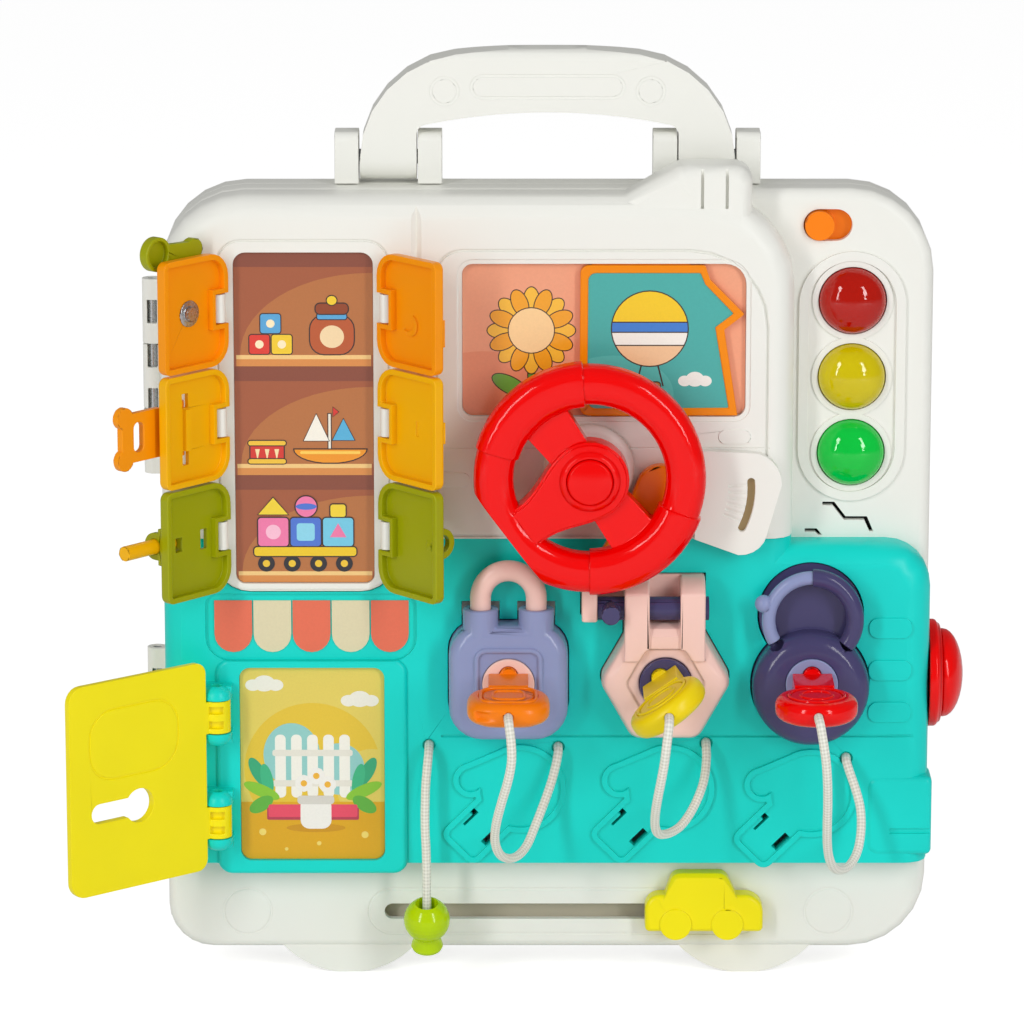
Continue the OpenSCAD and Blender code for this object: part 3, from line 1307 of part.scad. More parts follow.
rear_shell();
wheel_feet();
hinge_rods();
handle_pins();
carry_handle();
front_base();
bus_shell();
lower_panel();
back_plate();
battery_cover();
back_screws();
batteries();
circuit_board();
light_diodes();
speaker();
cupboard_picture();
window_picture();
house_picture();
awning_stickers();
steering_base();
steering_wheel();
horn_button();
indicator_lever();
power_switch();
red_lens();
amber_lens();
green_lens();
side_bezel();
side_button();
car_slider();
window_slider();
door_top_left();
door_middle_left();
door_bottom_left();
door_top_right();
door_middle_right();
door_bottom_right();
turn_latch();
latch_screw();
hasp();
slide_bolt();
house_door();
lock_one_body();
lock_two_body();
lock_three_body();
lock_one_cylinder();
lock_two_cylinder();
lock_three_cylinder();
key_one();
key_two();
key_three();
shackle_one();
bolt_two();
shackle_three();
key_cord_one();
key_cord_two();
key_cord_three();
bead_cord();
bead();
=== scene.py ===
"""A bus-shaped busy board: a flat plastic carry case with doors, locks, lights and a wheel."""

import json
import math

import bmesh
import bpy
from mathutils import Matrix, Vector

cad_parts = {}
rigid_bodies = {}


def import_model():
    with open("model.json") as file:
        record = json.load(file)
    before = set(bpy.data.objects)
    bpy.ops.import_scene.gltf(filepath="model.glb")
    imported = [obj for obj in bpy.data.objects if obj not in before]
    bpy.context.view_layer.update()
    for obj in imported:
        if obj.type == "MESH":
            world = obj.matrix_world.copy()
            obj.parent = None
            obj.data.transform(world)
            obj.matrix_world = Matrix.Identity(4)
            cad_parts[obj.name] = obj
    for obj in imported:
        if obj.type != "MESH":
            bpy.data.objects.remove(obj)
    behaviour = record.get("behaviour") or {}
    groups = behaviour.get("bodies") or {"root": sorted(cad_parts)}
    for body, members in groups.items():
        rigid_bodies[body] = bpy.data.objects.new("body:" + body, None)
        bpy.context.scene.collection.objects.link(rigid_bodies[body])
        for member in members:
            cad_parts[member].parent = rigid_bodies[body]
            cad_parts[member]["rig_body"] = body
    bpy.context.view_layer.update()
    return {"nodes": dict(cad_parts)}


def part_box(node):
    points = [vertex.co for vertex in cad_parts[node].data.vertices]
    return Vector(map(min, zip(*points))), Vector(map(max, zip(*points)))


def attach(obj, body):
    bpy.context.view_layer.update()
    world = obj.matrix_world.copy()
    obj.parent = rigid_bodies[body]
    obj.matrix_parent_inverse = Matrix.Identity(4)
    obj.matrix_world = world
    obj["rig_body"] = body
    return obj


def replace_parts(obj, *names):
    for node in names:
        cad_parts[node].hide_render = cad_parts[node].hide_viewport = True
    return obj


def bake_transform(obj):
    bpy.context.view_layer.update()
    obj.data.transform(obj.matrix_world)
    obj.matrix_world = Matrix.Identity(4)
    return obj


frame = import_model()
scene = bpy.context.scene


# ---- Camera ----
# A long lens stands 1.85 m in front of the board and looks slightly down on it,
# so that the tops of the raised mouldings show and upright lines stay upright.

VIEW_DISTANCE = 1.85
VIEW_DOWN = math.radians(13.2)
VIEW_TARGET = Vector((-0.00304, 0.0103, 0.1631))
VIEW_WIDTH = 1024 / 3000  # In metres: 1024 pixels, three to the millimetre
camera = bpy.data.objects.new("Camera", bpy.data.cameras.new("Camera"))
scene.collection.objects.link(camera)
camera.data.sensor_width = 36
camera.data.lens = camera.data.sensor_width * VIEW_DISTANCE / VIEW_WIDTH
camera.location = VIEW_TARGET + VIEW_DISTANCE * Vector((0, -math.cos(VIEW_DOWN), math.sin(VIEW_DOWN)))
camera.rotation_euler = (math.radians(90) - VIEW_DOWN, 0, 0)
scene.camera = camera
scene.view_settings.view_transform = "Standard"


# ---- Key cords and bead cord ----
# Four limp braided polyester cords, 3 mm thick. Each key cord is knotted inside
# its key and inside the panel; the fourth ends in the bead that hangs on it.

MM = 0.001
CORD_RADIUS = 1.5 * MM
CASE_MIDDLE = sum(corner.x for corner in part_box("back_plate")) / 2
CASE_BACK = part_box("rear_shell")[1].y


def at(across, level, height):
    """A place on the case in mm: from its middle, from its back towards the child, and up."""
    return Vector((CASE_MIDDLE + across * MM, CASE_BACK - level * MM, height * MM))


def paint(code):
    """The linear colour of an sRGB hex value."""
    channels = [int(code[i:i + 2], 16) / 255 for i in (1, 3, 5)]
    return [c / 12.92 if c < 0.04045 else ((c + 0.055) / 1.055) ** 2.4 for c in channels] + [1]


def add_node(tree, kind, inputs=None, **settings):
    """Adds a shader node with its settings, its values and the links into it."""
    made = tree.nodes.new("ShaderNode" + kind)
    for name, value in settings.items():
        setattr(made, name, value)
    for name, value in (inputs or {}).items():
        if isinstance(value, bpy.types.NodeSocket):
            tree.links.new(value, made.inputs[name])
        else:
            made.inputs[name].default_value = value
    return made


def new_material(name):
    """An empty node material and its shader, which is linked to the output."""
    material = bpy.data.materials.new(name)
    material.use_nodes = True
    material.node_tree.nodes.clear()
    shader = add_node(material.node_tree, "BsdfPrincipled")
    add_node(material.node_tree, "OutputMaterial", {"Surface": shader.outputs["BSDF"]})
    return material, material.node_tree, shader


def link_piece(name, solid, finish):
    """Makes a linked object of one material from a finished bmesh, and frees the bmesh."""
    mesh = bpy.data.meshes.new(name)
    solid.to_mesh(mesh)
    solid.free()
    mesh.materials.append(finish)
    piece = bpy.data.objects.new(name, mesh)
    scene.collection.objects.link(piece)
    return piece


def braided_polyester():
    """Matt twisted yarns in a diamond braid: pale ridges, grey gaps that are painted shade between the
    yarns, and a soft sheen at the rim.
    """
    material, tree, shader = new_material("braided_polyester")
    yarns_around, yarn_pitch = 8, 2.4 * MM
    place = add_node(tree, "UVMap", uv_map="cord")
    axes = add_node(tree, "SeparateXYZ", {"Vector": place.outputs["UV"]})
    around = add_node(tree, "Math", {0: axes.outputs["X"], 1: 0.5 * yarns_around}, operation="MULTIPLY")
    along = add_node(tree, "Math", {0: axes.outputs["Y"], 1: yarn_pitch}, operation="DIVIDE")
    waves = []
    for operation in ("ADD", "SUBTRACT"):
        turns = add_node(tree, "Math", {0: around.outputs[0], 1: along.outputs[0]}, operation=operation)
        angle = add_node(tree, "Math", {0: turns.outputs[0], 1: 2 * math.pi}, operation="MULTIPLY")
        waves.append(add_node(tree, "Math", {0: angle.outputs[0]}, operation="SINE"))
    cross = add_node(tree, "Math", {0: waves[0].outputs[0], 1: waves[1].outputs[0]}, operation="MULTIPLY")
    ridge = add_node(tree, "MapRange", {"Value": cross.outputs[0], "From Min": -1})
    # The grey in the braid's grooves is painted shade. The same wave also raises the bump.
    painted_gap_shade, yarn = paint("#CFCFC2"), paint("#FAF9EE")
    shade = add_node(tree, "Mix", {"Factor": ridge.outputs["Result"], 6: painted_gap_shade, 7: yarn}, data_type="RGBA")
    bump = add_node(tree, "Bump", {"Height": ridge.outputs["Result"], "Strength": 0.5,
                                   "Distance": 0.2 * MM})
    tree.links.new(shade.outputs[2], shader.inputs["Base Color"])
    tree.links.new(bump.outputs["Normal"], shader.inputs["Normal"])
    shader.inputs["Roughness"].default_value = 0.75
    shader.inputs["Sheen Weight"].default_value = 0.3
    return material


def smooth_route(points, steps=4):
    """The same route with points between, on a curve through all of them."""
    made = []
    for i in range(len(points) - 1):
        before, start, end, after = (points[min(max(i + k, 0), len(points) - 1)] for k in (-1, 0, 1, 2))
        for step in range(steps):
            t = step / steps
            square = 2 * before - 5 * start + 4 * end - after
            cube = 3 * start - before - 3 * end + after
            made.append(0.5 * (2 * start + (end - before) * t + square * t**2 + cube * t**3))
    return made + [points[-1]]


def braided_cord(name, route):
    """A tube of sixteen sides round the route, with its UV in turns and in metres along it."""
    centres = smooth_route([at(*point) for point in route])
    sides = 16
    turns = [2 * math.pi * k / sides for k in range(sides)]
    tube = bmesh.new()
    uv = tube.loops.layers.uv.new("cord")
    rings, lengths = [], [0.0]
    side = Vector((0.31, -0.93, 0.2))  # Runs along no stretch of any cord
    for i, centre in enumerate(centres):
        ahead = (centres[min(i + 1, len(centres) - 1)] - centres[max(i - 1, 0)]).normalized()
        side = (side - side.dot(ahead) * ahead).normalized()
        up = ahead.cross(side)
        arms = [CORD_RADIUS * (math.cos(turn) * side + math.sin(turn) * up) for turn in turns]
        rings.append([tube.verts.new(centre + arm) for arm in arms])
        if i:
            lengths.append(lengths[-1] + (centre - centres[i - 1]).length)
    for i in range(len(rings) - 1):
        for k in range(sides):
            n = (k + 1) % sides
            wall = tube.faces.new((rings[i][k], rings[i][n], rings[i + 1][n], rings[i + 1][k]))
            for loop, (turn, ring) in zip(wall.loops, ((k, i), (k + 1, i), (k + 1, i + 1), (k, i + 1))):
                loop[uv].uv = (turn / sides, lengths[ring])
    tube.faces.new(rings[0][::-1])
    tube.faces.new(rings[-1])
    piece = link_piece(name, tube, cord_yarn)
    piece.data.shade_smooth()
    return piece, centres, lengths[-1]


cord_yarn = braided_polyester()

# Across, level and height in mm of points on each route, from the key to the panel
KEY_CORDS = {
    "one": [(-13, 91, 107.4), (-13, 94.5, 107.4), (-12.7, 98.2, 106), (-12, 99.5, 100), (-12, 99, 94),
            (-13.2, 97, 87), (-15.2, 93.5, 79), (-17, 88, 70), (-17.4, 82, 62.5), (-16, 76, 56.5),
            (-13.4, 70, 53), (-10, 64, 52), (-6.8, 58, 54), (-4, 52, 59), (-1, 47, 65.5), (1.4, 44.5, 72),
            (3, 43.2, 78), (3.7, 41.4, 81.6), (3.7, 39, 82.4), (3.7, 36.5, 82.4)],
    "two": [(39.4, 91, 107.4), (39.4, 94.5, 107.4), (39.2, 98, 106), (38.4, 99.3, 99.5), (37.8, 98.6, 94),
            (36.8, 96.2, 87), (35.8, 92.5, 80), (35.2, 87, 73), (35.4, 81, 67), (36.8, 74.5, 62.8),
            (40, 68, 61), (44, 62, 61.5), (47.6, 56.5, 64.5), (50.6, 51.5, 69), (52.6, 47.6, 74),
            (53.4, 44.2, 79.6), (53.4, 41.6, 83), (53.4, 39, 83.8), (53.4, 36.5, 83.8)],
    "three": [(88.1, 91, 107.4), (88.1, 94.5, 107.4), (88.5, 98, 106), (89.6, 99.3, 99.5), (90.4, 98.8, 94),
              (91, 96.8, 87), (91.4, 93, 79), (91.6, 88.5, 70.5), (92, 83, 62.5), (93, 77, 55.5),
              (95, 71, 50), (98, 65, 47.5), (101.4, 59.5, 48), (104, 54.5, 51.5), (105.2, 50.5, 57.5),
              (105, 47.4, 64), (103.4, 45, 70), (101.6, 43, 75), (100.6, 41.2, 78), (100.6, 39, 78.6),
              (100.6, 36.5, 78.6)],
}
for number, route in KEY_CORDS.items():
    piece, centres, length = braided_cord(f"key_cord_{number}_braid", route)
    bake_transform(piece)
    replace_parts(piece, f"key_cord_{number}")

# From the panel down into the bead
BEAD_CORD = [(-39.7, 36.5, 83.1), (-39.7, 39, 83.1), (-39.7, 41.6, 82.6), (-39.9, 44.2, 80.6),
             (-40.3, 45.6, 76.5), (-40.6, 46, 73.2), (-40.8, 46.2, 70), (-40.9, 46.4, 66), (-41, 46.6, 62),
             (-41, 46.7, 58), (-40.9, 46.8, 54), (-40.7, 46.8, 50), (-40.6, 46.8, 46), (-40.5, 46.8, 42),
             (-40.5, 46.8, 38.2), (-40.5, 46.8, 32), (-40.5, 46.8, 27.6)]
piece, centres, length = braided_cord("bead_cord_braid", BEAD_CORD)
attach(piece, "front_half")
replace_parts(piece, "bead_cord")


# ---- Rear half of the case ----
# An injection moulded tray of white ABS with a softly spark-eroded face. Its ears carry
# the handle, its knuckles the hinge rods, and two half wheels under it are its feet.

WELD = 0.002 * MM
CREASE = math.radians(36)
ABS_CLOUD = 26 * MM


def moulded_abs(name, colour, roughness=0.3, cloud=0.04, grain=0.5, peel_depth=0.05):
    """Glossy ABS from a polished mould: it flows in faint clouds and has a very fine orange peel."""
    material, tree, shader = new_material(name)
    place = add_node(tree, "TexCoord").outputs["Object"]
    flow = add_node(tree, "TexNoise", {"Vector": place, "Scale": 1 / ABS_CLOUD, "Detail": 2})
    peel = add_node(tree, "TexNoise", {"Vector": place, "Scale": 1 / (grain * MM), "Detail": 3})
    base = paint(colour)
    deep = [c * (1 - cloud) ** 2 for c in base[:3]] + [1]
    shade = add_node(tree, "Mix", {"Factor": flow.outputs["Fac"], 6: deep, 7: base}, data_type="RGBA")
    gloss = add_node(tree, "MapRange", {"Value": peel.outputs["Fac"], "To Min": roughness * 0.9,
                                        "To Max": roughness * 1.15})
    bump = add_node(tree, "Bump", {"Height": peel.outputs["Fac"], "Strength": peel_depth,
                                   "Distance": 0.05 * MM})
    tree.links.new(shade.outputs[2], shader.inputs["Base Color"])
    tree.links.new(gloss.outputs["Result"], shader.inputs["Roughness"])
    tree.links.new(bump.outputs["Normal"], shader.inputs["Normal"])
    shader.inputs["IOR"].default_value = 1.53
    shader.inputs["Specular IOR Level"].default_value = 0.28
    return material


def rounded_rim(solid, width):
    """Rounds the outer edge of the front face, and leaves the shallow grooves in it as they are."""
    deepest_groove, flatness = 1 * MM, 0.01 * MM
    front = min(vert.co.y for vert in solid.verts)
    rim = []
    for edge in solid.edges:
        walls = [face for face in edge.link_faces if abs(face.normal.y) < 0.5]
        if len(walls) == 1 and all(vert.co.y - front < flatness for vert in edge.verts):
            if max(vert.co.y for vert in walls[0].verts) - front > deepest_groove:
                rim.append(edge)
    bmesh.ops.bevel(solid, geom=rim, offset=width * MM, offset_type="OFFSET", affect="EDGES", segments=5,
                    profile=0.5, material=-1, clamp_overlap=True)


def moulding(node, finish, edge, rim=0.0, reshape=None):
    """A CAD node as it leaves its mould, welded, smooth, and with its edges rounded in mm."""
    source = frame["nodes"][node]
    solid = bmesh.new()
    solid.from_mesh(source.data)
    bmesh.ops.remove_doubles(solid, verts=solid.verts, dist=WELD)
    if reshape:
        reshape(solid)
    bmesh.ops.dissolve_limit(solid, angle_limit=math.radians(0.5), verts=solid.verts, edges=solid.edges)
    if rim:
        rounded_rim(solid, rim)
    bmesh.ops.triangulate(solid, faces=solid.faces[:], quad_method="BEAUTY", ngon_method="BEAUTY")
    piece = link_piece(node + "_moulding", solid, finish)
    piece.data.shade_smooth()
    piece.data.set_sharp_from_angle(angle=CREASE)
    rounded = piece.modifiers.new("Rounded edges", "BEVEL")
    rounded.width = edge * MM
    rounded.segments = 2
    rounded.limit_method = "ANGLE"
    rounded.angle_limit = CREASE
    rounded.use_clamp_overlap = False
    shading = piece.modifiers.new("Flat faces stay flat", "WEIGHTED_NORMAL")
    shading.mode = "FACE_AREA"
    shading.weight = 100
    shading.keep_sharp = True
    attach(piece, source["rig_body"])
    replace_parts(piece, node)
    return piece


def drawn_steel():
    """Drawn and zinc plated steel wire: bright metal with fine marks along it."""
    material, tree, shader = new_material("drawn_zinc_steel")
    place = add_node(tree, "TexCoord").outputs["Object"]
    marks = add_node(tree, "TexNoise", {"Vector": place, "Scale": 1 / (0.8 * MM), "Detail": 4})
    gloss = add_node(tree, "MapRange", {"Value": marks.outputs["Fac"], "To Min": 0.18, "To Max": 0.4})
    tree.links.new(gloss.outputs["Result"], shader.inputs["Roughness"])
    dull, bright = paint("#9EA1A6"), paint("#D2D4D6")
    shade = add_node(tree, "Mix", {"Factor": marks.outputs["Fac"], 6: dull, 7: bright}, data_type="RGBA")
    tree.links.new(shade.outputs[2], shader.inputs["Base Color"])
    shader.inputs["Metallic"].default_value = 1
    return material


white_abs = moulded_abs("white_moulded_abs", "#EFEFE8", roughness=0.38, cloud=0.01)
plated_steel = drawn_steel()
moulding("rear_shell", white_abs, edge=0.3)
moulding("wheel_feet", white_abs, edge=0.7)
moulding("hinge_rods", plated_steel, edge=0.3)
moulding("handle_pins", plated_steel, edge=0.4)


# ---- Carry handle ----
# A wide white ABS arch that folds back on two steel pins. Its grip has a shallow
# capsule and two rings sunk into the front.

moulding("carry_handle", white_abs, edge=0.12, rim=2.6)


# ---- Front half of the case ----
# The shallow white tray that closes on the rear half, the white bus body and the
# turquoise panel that are snapped onto it, and the plate screwed on behind.

CAR_SLOT_FLOOR = 23.2
LEVER_SLIT_FLOOR = 4.3


def shade_slot_floor(piece, floor_y, slot_shade):
    """Paints the floor of a slot, found by its world Y in mm, in a darker tint as painted shade for the
    shadow inside the slot.
    """
    piece.data.materials.append(slot_shade)
    for face in piece.data.polygons:
        if face.normal.y < -0.9 and abs(face.center.y - floor_y * MM) < 0.05 * MM:
            face.material_index = 1


teal_abs = moulded_abs("turquoise_moulded_abs", "#06DFD4", roughness=0.36)
base = moulding("front_base", white_abs, edge=0.12)
# The white floor of the car's slot is painted grey: painted shade of the narrow slot.
shade_slot_floor(base, CAR_SLOT_FLOOR, moulded_abs("grey_painted_slot_shade_abs", "#C9C3AE"))
bus = moulding("bus_shell", white_abs, edge=0.12)
# The white floor of the lever's slit is painted tan: painted shade of the deep slit, warmed as if by light
# reflected inside it.
shade_slot_floor(bus, LEVER_SLIT_FLOOR, moulded_abs("tan_painted_slit_shade_abs", "#A58C62"))
moulding("lower_panel", teal_abs, edge=0.15)
moulding("back_plate", white_abs, edge=0.1)
moulding("battery_cover", white_abs, edge=0.25)
moulding("back_screws", plated_steel, edge=0.2)


# ---- Inside the front half ----
# Three round cells in their bay, the circuit board with its three white diodes,
# and the loudspeaker, which show only through the lenses and the slits.

cell_sleeve = moulded_abs("printed_cell_sleeve", "#3A3F44", roughness=0.3)
solder_mask = moulded_abs("green_solder_mask", "#2E7D4F", roughness=0.25, cloud=0.2, grain=1.5)
diode_epoxy = moulded_abs("milky_diode_epoxy", "#F4F4EE", roughness=0.2)
speaker_paper = moulded_abs("black_speaker_paper", "#2B2B2E", roughness=0.7, cloud=0.2)
moulding("batteries", cell_sleeve, edge=0.5)
moulding("circuit_board", solder_mask, edge=0.4)
moulding("light_diodes", diode_epoxy, edge=0.2)
moulding("speaker", speaker_paper, edge=0.5)


# ---- Printed pictures ----
# Offset printed cards under a clear lacquer, laid into pockets of the mouldings. Their
# flat drawings of toys, plants and weather are thin films of ink, one over the other.

INK_FILM = 0.004 * MM
INK_ROOT = 0.05 * MM
INK_LINE = "#3B2A26"
CARD_MARGIN = 0.1 * MM
ROUND_TRIMS = 16
WHOLE = (-99, 99)


def lacquered_card():
    """Printed card under lacquer: flat inks, faint fibres of the card, and an even gloss over both."""
    material, tree, shader = new_material("lacquered_printed_card")
    place = add_node(tree, "TexCoord").outputs["Object"]
    fibres = add_node(tree, "TexNoise", {"Vector": place, "Scale": 1 / (0.7 * MM), "Detail": 4})
    ink = add_node(tree, "Attribute", attribute_name="ink")
    tint = add_node(tree, "MapRange", {"Value": fibres.outputs["Fac"], "To Min": 0.93, "To Max": 1.03})
    shade = add_node(tree, "Mix", {"Factor": 1, 6: ink.outputs["Color"], 7: tint.outputs["Result"]},
                     data_type="RGBA", blend_type="MULTIPLY")
    tree.links.new(shade.outputs[2], shader.inputs["Base Color"])
    shader.inputs["Roughness"].default_value = 0.32
    shader.inputs["Coat Weight"].default_value = 0.3
    return material


def ink_all(sheet, ink):
    """Gives every face of a sheet one ink."""
    inks = sheet.loops.layers.float_color.get("ink") or sheet.loops.layers.float_color.new("ink")
    for face in sheet.faces:
        for loop in face.loops:
            loop[inks] = paint(ink)


def take_card(node, ground, corner):
    """The merged card of a CAD node in its ground ink, and where and how large it is."""
    low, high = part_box(node)
    sheet = bmesh.new()
    sheet.from_mesh(frame["nodes"][node].data)
    bmesh.ops.remove_doubles(sheet, verts=sheet.verts, dist=WELD)
    ink_all(sheet, ground)
    return {"sheet": sheet, "front": low.y, "top": low.y, "middle": (low + high) / 2,
            "half": (high - low) / 2, "corner": corner * MM}


def draw(card, ink, across, up, width, height, sides=28, corner=0.0, turn=0.0, line=0.0, keep=WHOLE):
    """Inks a disc, a triangle (3 sides) or a box (4 sides) in mm from the card's middle.

    Its outline is a wider patch under it. Both are trimmed to the heights kept and to the card.
    """
    if line:
        draw(card, INK_LINE, across, up, width + 2 * line, height + 2 * line, sides,
             corner + line * (corner > 0), turn, keep=(keep[0] - line, keep[1] + line))
    patch = bmesh.new()
    if sides == 4:
        bmesh.ops.create_grid(patch, x_segments=1, y_segments=1, size=0.5)
    else:
        bmesh.ops.create_circle(patch, cap_ends=True, segments=sides, radius=0.5)
    bmesh.ops.scale(patch, vec=(width * MM, height * MM, 1), verts=patch.verts)
    if corner:
        bmesh.ops.bevel(patch, geom=patch.verts[:], offset=corner * MM, offset_type="OFFSET",
                        affect="VERTICES", segments=5, profile=0.5, material=-1)
    turned = Matrix.Rotation(math.radians(turn), 3, "Z")
    bmesh.ops.rotate(patch, cent=(0, 0, 0), matrix=turned, verts=patch.verts)
    bmesh.ops.translate(patch, vec=(across * MM, up * MM, 0), verts=patch.verts)
    trims = [(Vector((0, level * MM, 0)), Vector((0, side, 0))) for level, side in zip(keep, (-1, 1))]
    for step in range(ROUND_TRIMS):
        angle = 2 * math.pi * step / ROUND_TRIMS
        outward = Vector((math.cos(angle), math.sin(angle), 0))
        turning = Vector((math.copysign(card["half"].x - card["corner"], outward.x),
                          math.copysign(card["half"].z - card["corner"], outward.y), 0))
        trims.append((turning + outward * (card["corner"] - CARD_MARGIN), outward))
    for place, outward in trims:
        bmesh.ops.bisect_plane(patch, geom=patch.verts[:] + patch.edges[:] + patch.faces[:], plane_co=place,
                               plane_no=outward, clear_outer=True)
    card["top"] -= INK_FILM
    film = bmesh.ops.extrude_face_region(patch, geom=patch.faces[:])
    raised = [part for part in film["geom"] if isinstance(part, bmesh.types.BMVert)]
    bmesh.ops.translate(patch, vec=(0, 0, card["front"] + INK_ROOT - card["top"]), verts=raised)
    bmesh.ops.recalc_face_normals(patch, faces=patch.faces[:])
    upright = Matrix.Rotation(math.radians(90), 3, "X")
    bmesh.ops.rotate(patch, cent=(0, 0, 0), matrix=upright, verts=patch.verts)
    root = (card["middle"].x, card["front"] + INK_ROOT, card["middle"].z)
    bmesh.ops.translate(patch, vec=root, verts=patch.verts)
    ink_all(patch, ink)
    flat = bpy.data.meshes.new("film")
    patch.to_mesh(flat)
    patch.free()
    card["sheet"].from_mesh(flat)
    bpy.data.meshes.remove(flat)


def lay_card(card, name, body):
    """Lays a finished card into its pocket."""
    piece = link_piece(name, card["sheet"], printed_card)
    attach(piece, body)
    return piece


printed_card = lacquered_card()

# Three shelves of toys: blocks and a jar, a drum and a boat, a loaded wagon
card = take_card("cupboard_picture", "#A65B39", 3)
for ceiling, shelf in ((56, 21.4), (17.6, -15.5), (-19.3, -52.2)):
    draw(card, "#B9733F", 22, shelf, 86, 2 * (ceiling - shelf) - 14, sides=56, keep=(shelf, ceiling))
    draw(card, "#8B4B37", 0, ceiling - 2.5, 46, 5, sides=4)
    draw(card, "#DD914A", 0, shelf - 1.9, 44.6, 3.8, sides=4)
    draw(card, "#F6CD86", 0, shelf - 0.7, 44.6, 1.4, sides=4)
for ink, across, up in (("#E23B2E", -14.6, 25), ("#F5D02C", -7.2, 25), ("#57A9DE", -10.9, 32)):
    draw(card, ink, across, up, 6.6, 6.4, sides=4, corner=0.8, line=0.35)
    draw(card, "#FFF1C9", across, up, 2.8, 2.8)
draw(card, "#BC5A2C", 9.4, 28.2, 14.4, 13, sides=4, corner=4.6, line=0.4)
draw(card, "#F6DCAE", 9.4, 27.6, 8, 7.6)
draw(card, "#57A9DE", 9.4, 34.4, 9.6, 1.8, sides=4, corner=0.6, line=0.35)
draw(card, "#93431F", 9.4, 37, 10.6, 3.4, sides=4, corner=1.4, line=0.4)
draw(card, "#F5D02C", 9.4, 39.8, 3.2, 3, line=0.35)
draw(card, "#D9362B", -12.4, -11.7, 11, 6.8, sides=4, corner=0.6, line=0.4)
for across in (-15.6, -12.4, -9.2):
    draw(card, "#FBE6B0", across, -11.7, 1.8, 5, sides=3, turn=180)
for up in (-14.6, -8.4):
    draw(card, "#F5C63A", -12.4, up, 12.4, 1.5, sides=4, corner=0.7, line=0.35)
draw(card, "#EFEBDD", 8.4, -5.2, 0.8, 13.4, sides=4, line=0.3)
draw(card, "#F9F6EA", 4, -4.6, 9.6, 12, sides=3, line=0.4)
draw(card, "#57B4E0", 13, -5, 8.4, 9.6, sides=3, line=0.4)
draw(card, "#F39A1E", 8.6, -10.4, 24, 9.4, line=0.4, keep=(-15, -10.6))
draw(card, "#FFD25A", 8.6, -11.6, 20, 1, sides=4, corner=0.4)
draw(card, "#D9362B", 10.2, 2.2, 3.6, 2.4, sides=3, turn=-90, line=0.3)
for across in (-13, -4.4, 4.4, 13):
    draw(card, "#2C2A30", across, -49.5, 5.6, 5.6)
    draw(card, "#F2C832", across, -49.5, 2.4, 2.4)
draw(card, "#F2CC20", 0, -45.4, 34, 3, sides=4, corner=1, line=0.4)
for ink, across in (("#F47DAE", -10.6), ("#4F78D8", 0.2), ("#76CDEB", 11)):
    draw(card, ink, across, -38.7, 10, 9.6, sides=4, corner=1, line=0.4)
draw(card, "#FFC3DB", -10.6, -38.7, 5, 5)
draw(card, "#8FD9F2", 0.2, -38.7, 6, 6, sides=4, corner=1)
draw(card, "#F47DAE", 11, -38.9, 6.4, 6.4, sides=3)
draw(card, "#F6D736", -10.6, -30.8, 11.4, 7.6, sides=3, line=0.4)
draw(card, "#F47DAE", 0.4, -30, 7, 7, line=0.4)
draw(card, "#4F78D8", 0.4, -30, 7, 2.2, keep=(-31.1, -28.9))
draw(card, "#F6D736", 11, -31.4, 5, 4.2, sides=4, corner=0.8, line=0.4)
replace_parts(lay_card(card, "cupboard_print", "front_half"), "cupboard_picture")

# A sunflower behind the window. Every second petal is of one layer, so that the ink stays
# thinner than the gap to the pane that slides over it.
card = take_card("window_picture", "#F2A581", 3.5)
draw(card, "#EC9570", -40, -26, 60, 44, sides=56)
draw(card, "#5E9C3C", -24, -18, 2, 22, sides=4, line=0.35)
for across, turn in ((-31, -28), (-17, 28)):
    draw(card, "#6FB143", across, -15.5, 13, 5.4, turn=turn, line=0.35)
PETALS = 16
for first, ink in ((0, "#FBC23B"), (1, "#F6A81F")):
    bed = card["top"]
    for petal in range(first, PETALS, 2):
        turn = petal * 360 / PETALS
        angle = math.radians(turn)
        card["top"] = bed
        draw(card, ink, -24 + 10 * math.cos(angle), 3 + 10 * math.sin(angle), 9, 5, turn=turn, line=0.35)
draw(card, "#FFD89C", -24, 3, 15, 15, line=0.35)
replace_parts(lay_card(card, "window_print", "front_half"), "window_picture")

# A garden with a fence, a red mat and a potted plant
card = take_card("house_picture", "#E6D05E", 3.5)
draw(card, "#E8C533", 0, -2, 46, 46, sides=56)
draw(card, "#E6D05E", 20, -8, 24, 26, sides=40)
for across, up in ((-16, 27.8), (16, 22.4)):
    for shift, rise, size in ((0, 0, 5.6), (-3.8, -0.6, 4), (3.8, -0.6, 4)):
        draw(card, "#F1EFE2", across + shift, up + rise, size * 1.3, size)
for across, up, width, height in ((-7, 3, 19, 22), (9, -2, 17, 18)):
    draw(card, "#93CFCB", across, up, width, height, sides=40)
for post in range(5):
    draw(card, "#F6F4EA", 5.4 * (post - 2), -1, 3.6, 22, sides=4, corner=1.6)
for up in (-7, 3.6):
    draw(card, "#E9E6DA", 0, up, 27, 2.2, sides=4, corner=0.8)
draw(card, "#E0A900", 0, -24, 52, 21, sides=4)
for side in (-1, 1):
    for ink, across, up, width, height, turn in (
            ("#2FAA78", 18.4, -3, 4.4, 11, -28), ("#38B884", 15.4, -5.6, 4, 11, -12),
            ("#8AC92F", 17.2, -9.6, 13, 4.2, 24), ("#5FB33C", 17.4, -14.4, 9, 4.8, -32)):
        draw(card, ink, side * across, up, width, height, turn=side * turn)
draw(card, "#B93A52", 0, -17.6, 31, 4.4, sides=4, corner=0.6)
draw(card, "#EA4A64", 0, -16.6, 30, 4.4, sides=4, corner=0.6)
draw(card, "#CF9500", 1, -22.6, 20, 3)
draw(card, "#F4F2EC", 1, -17.4, 10.4, 11, sides=4, corner=3)
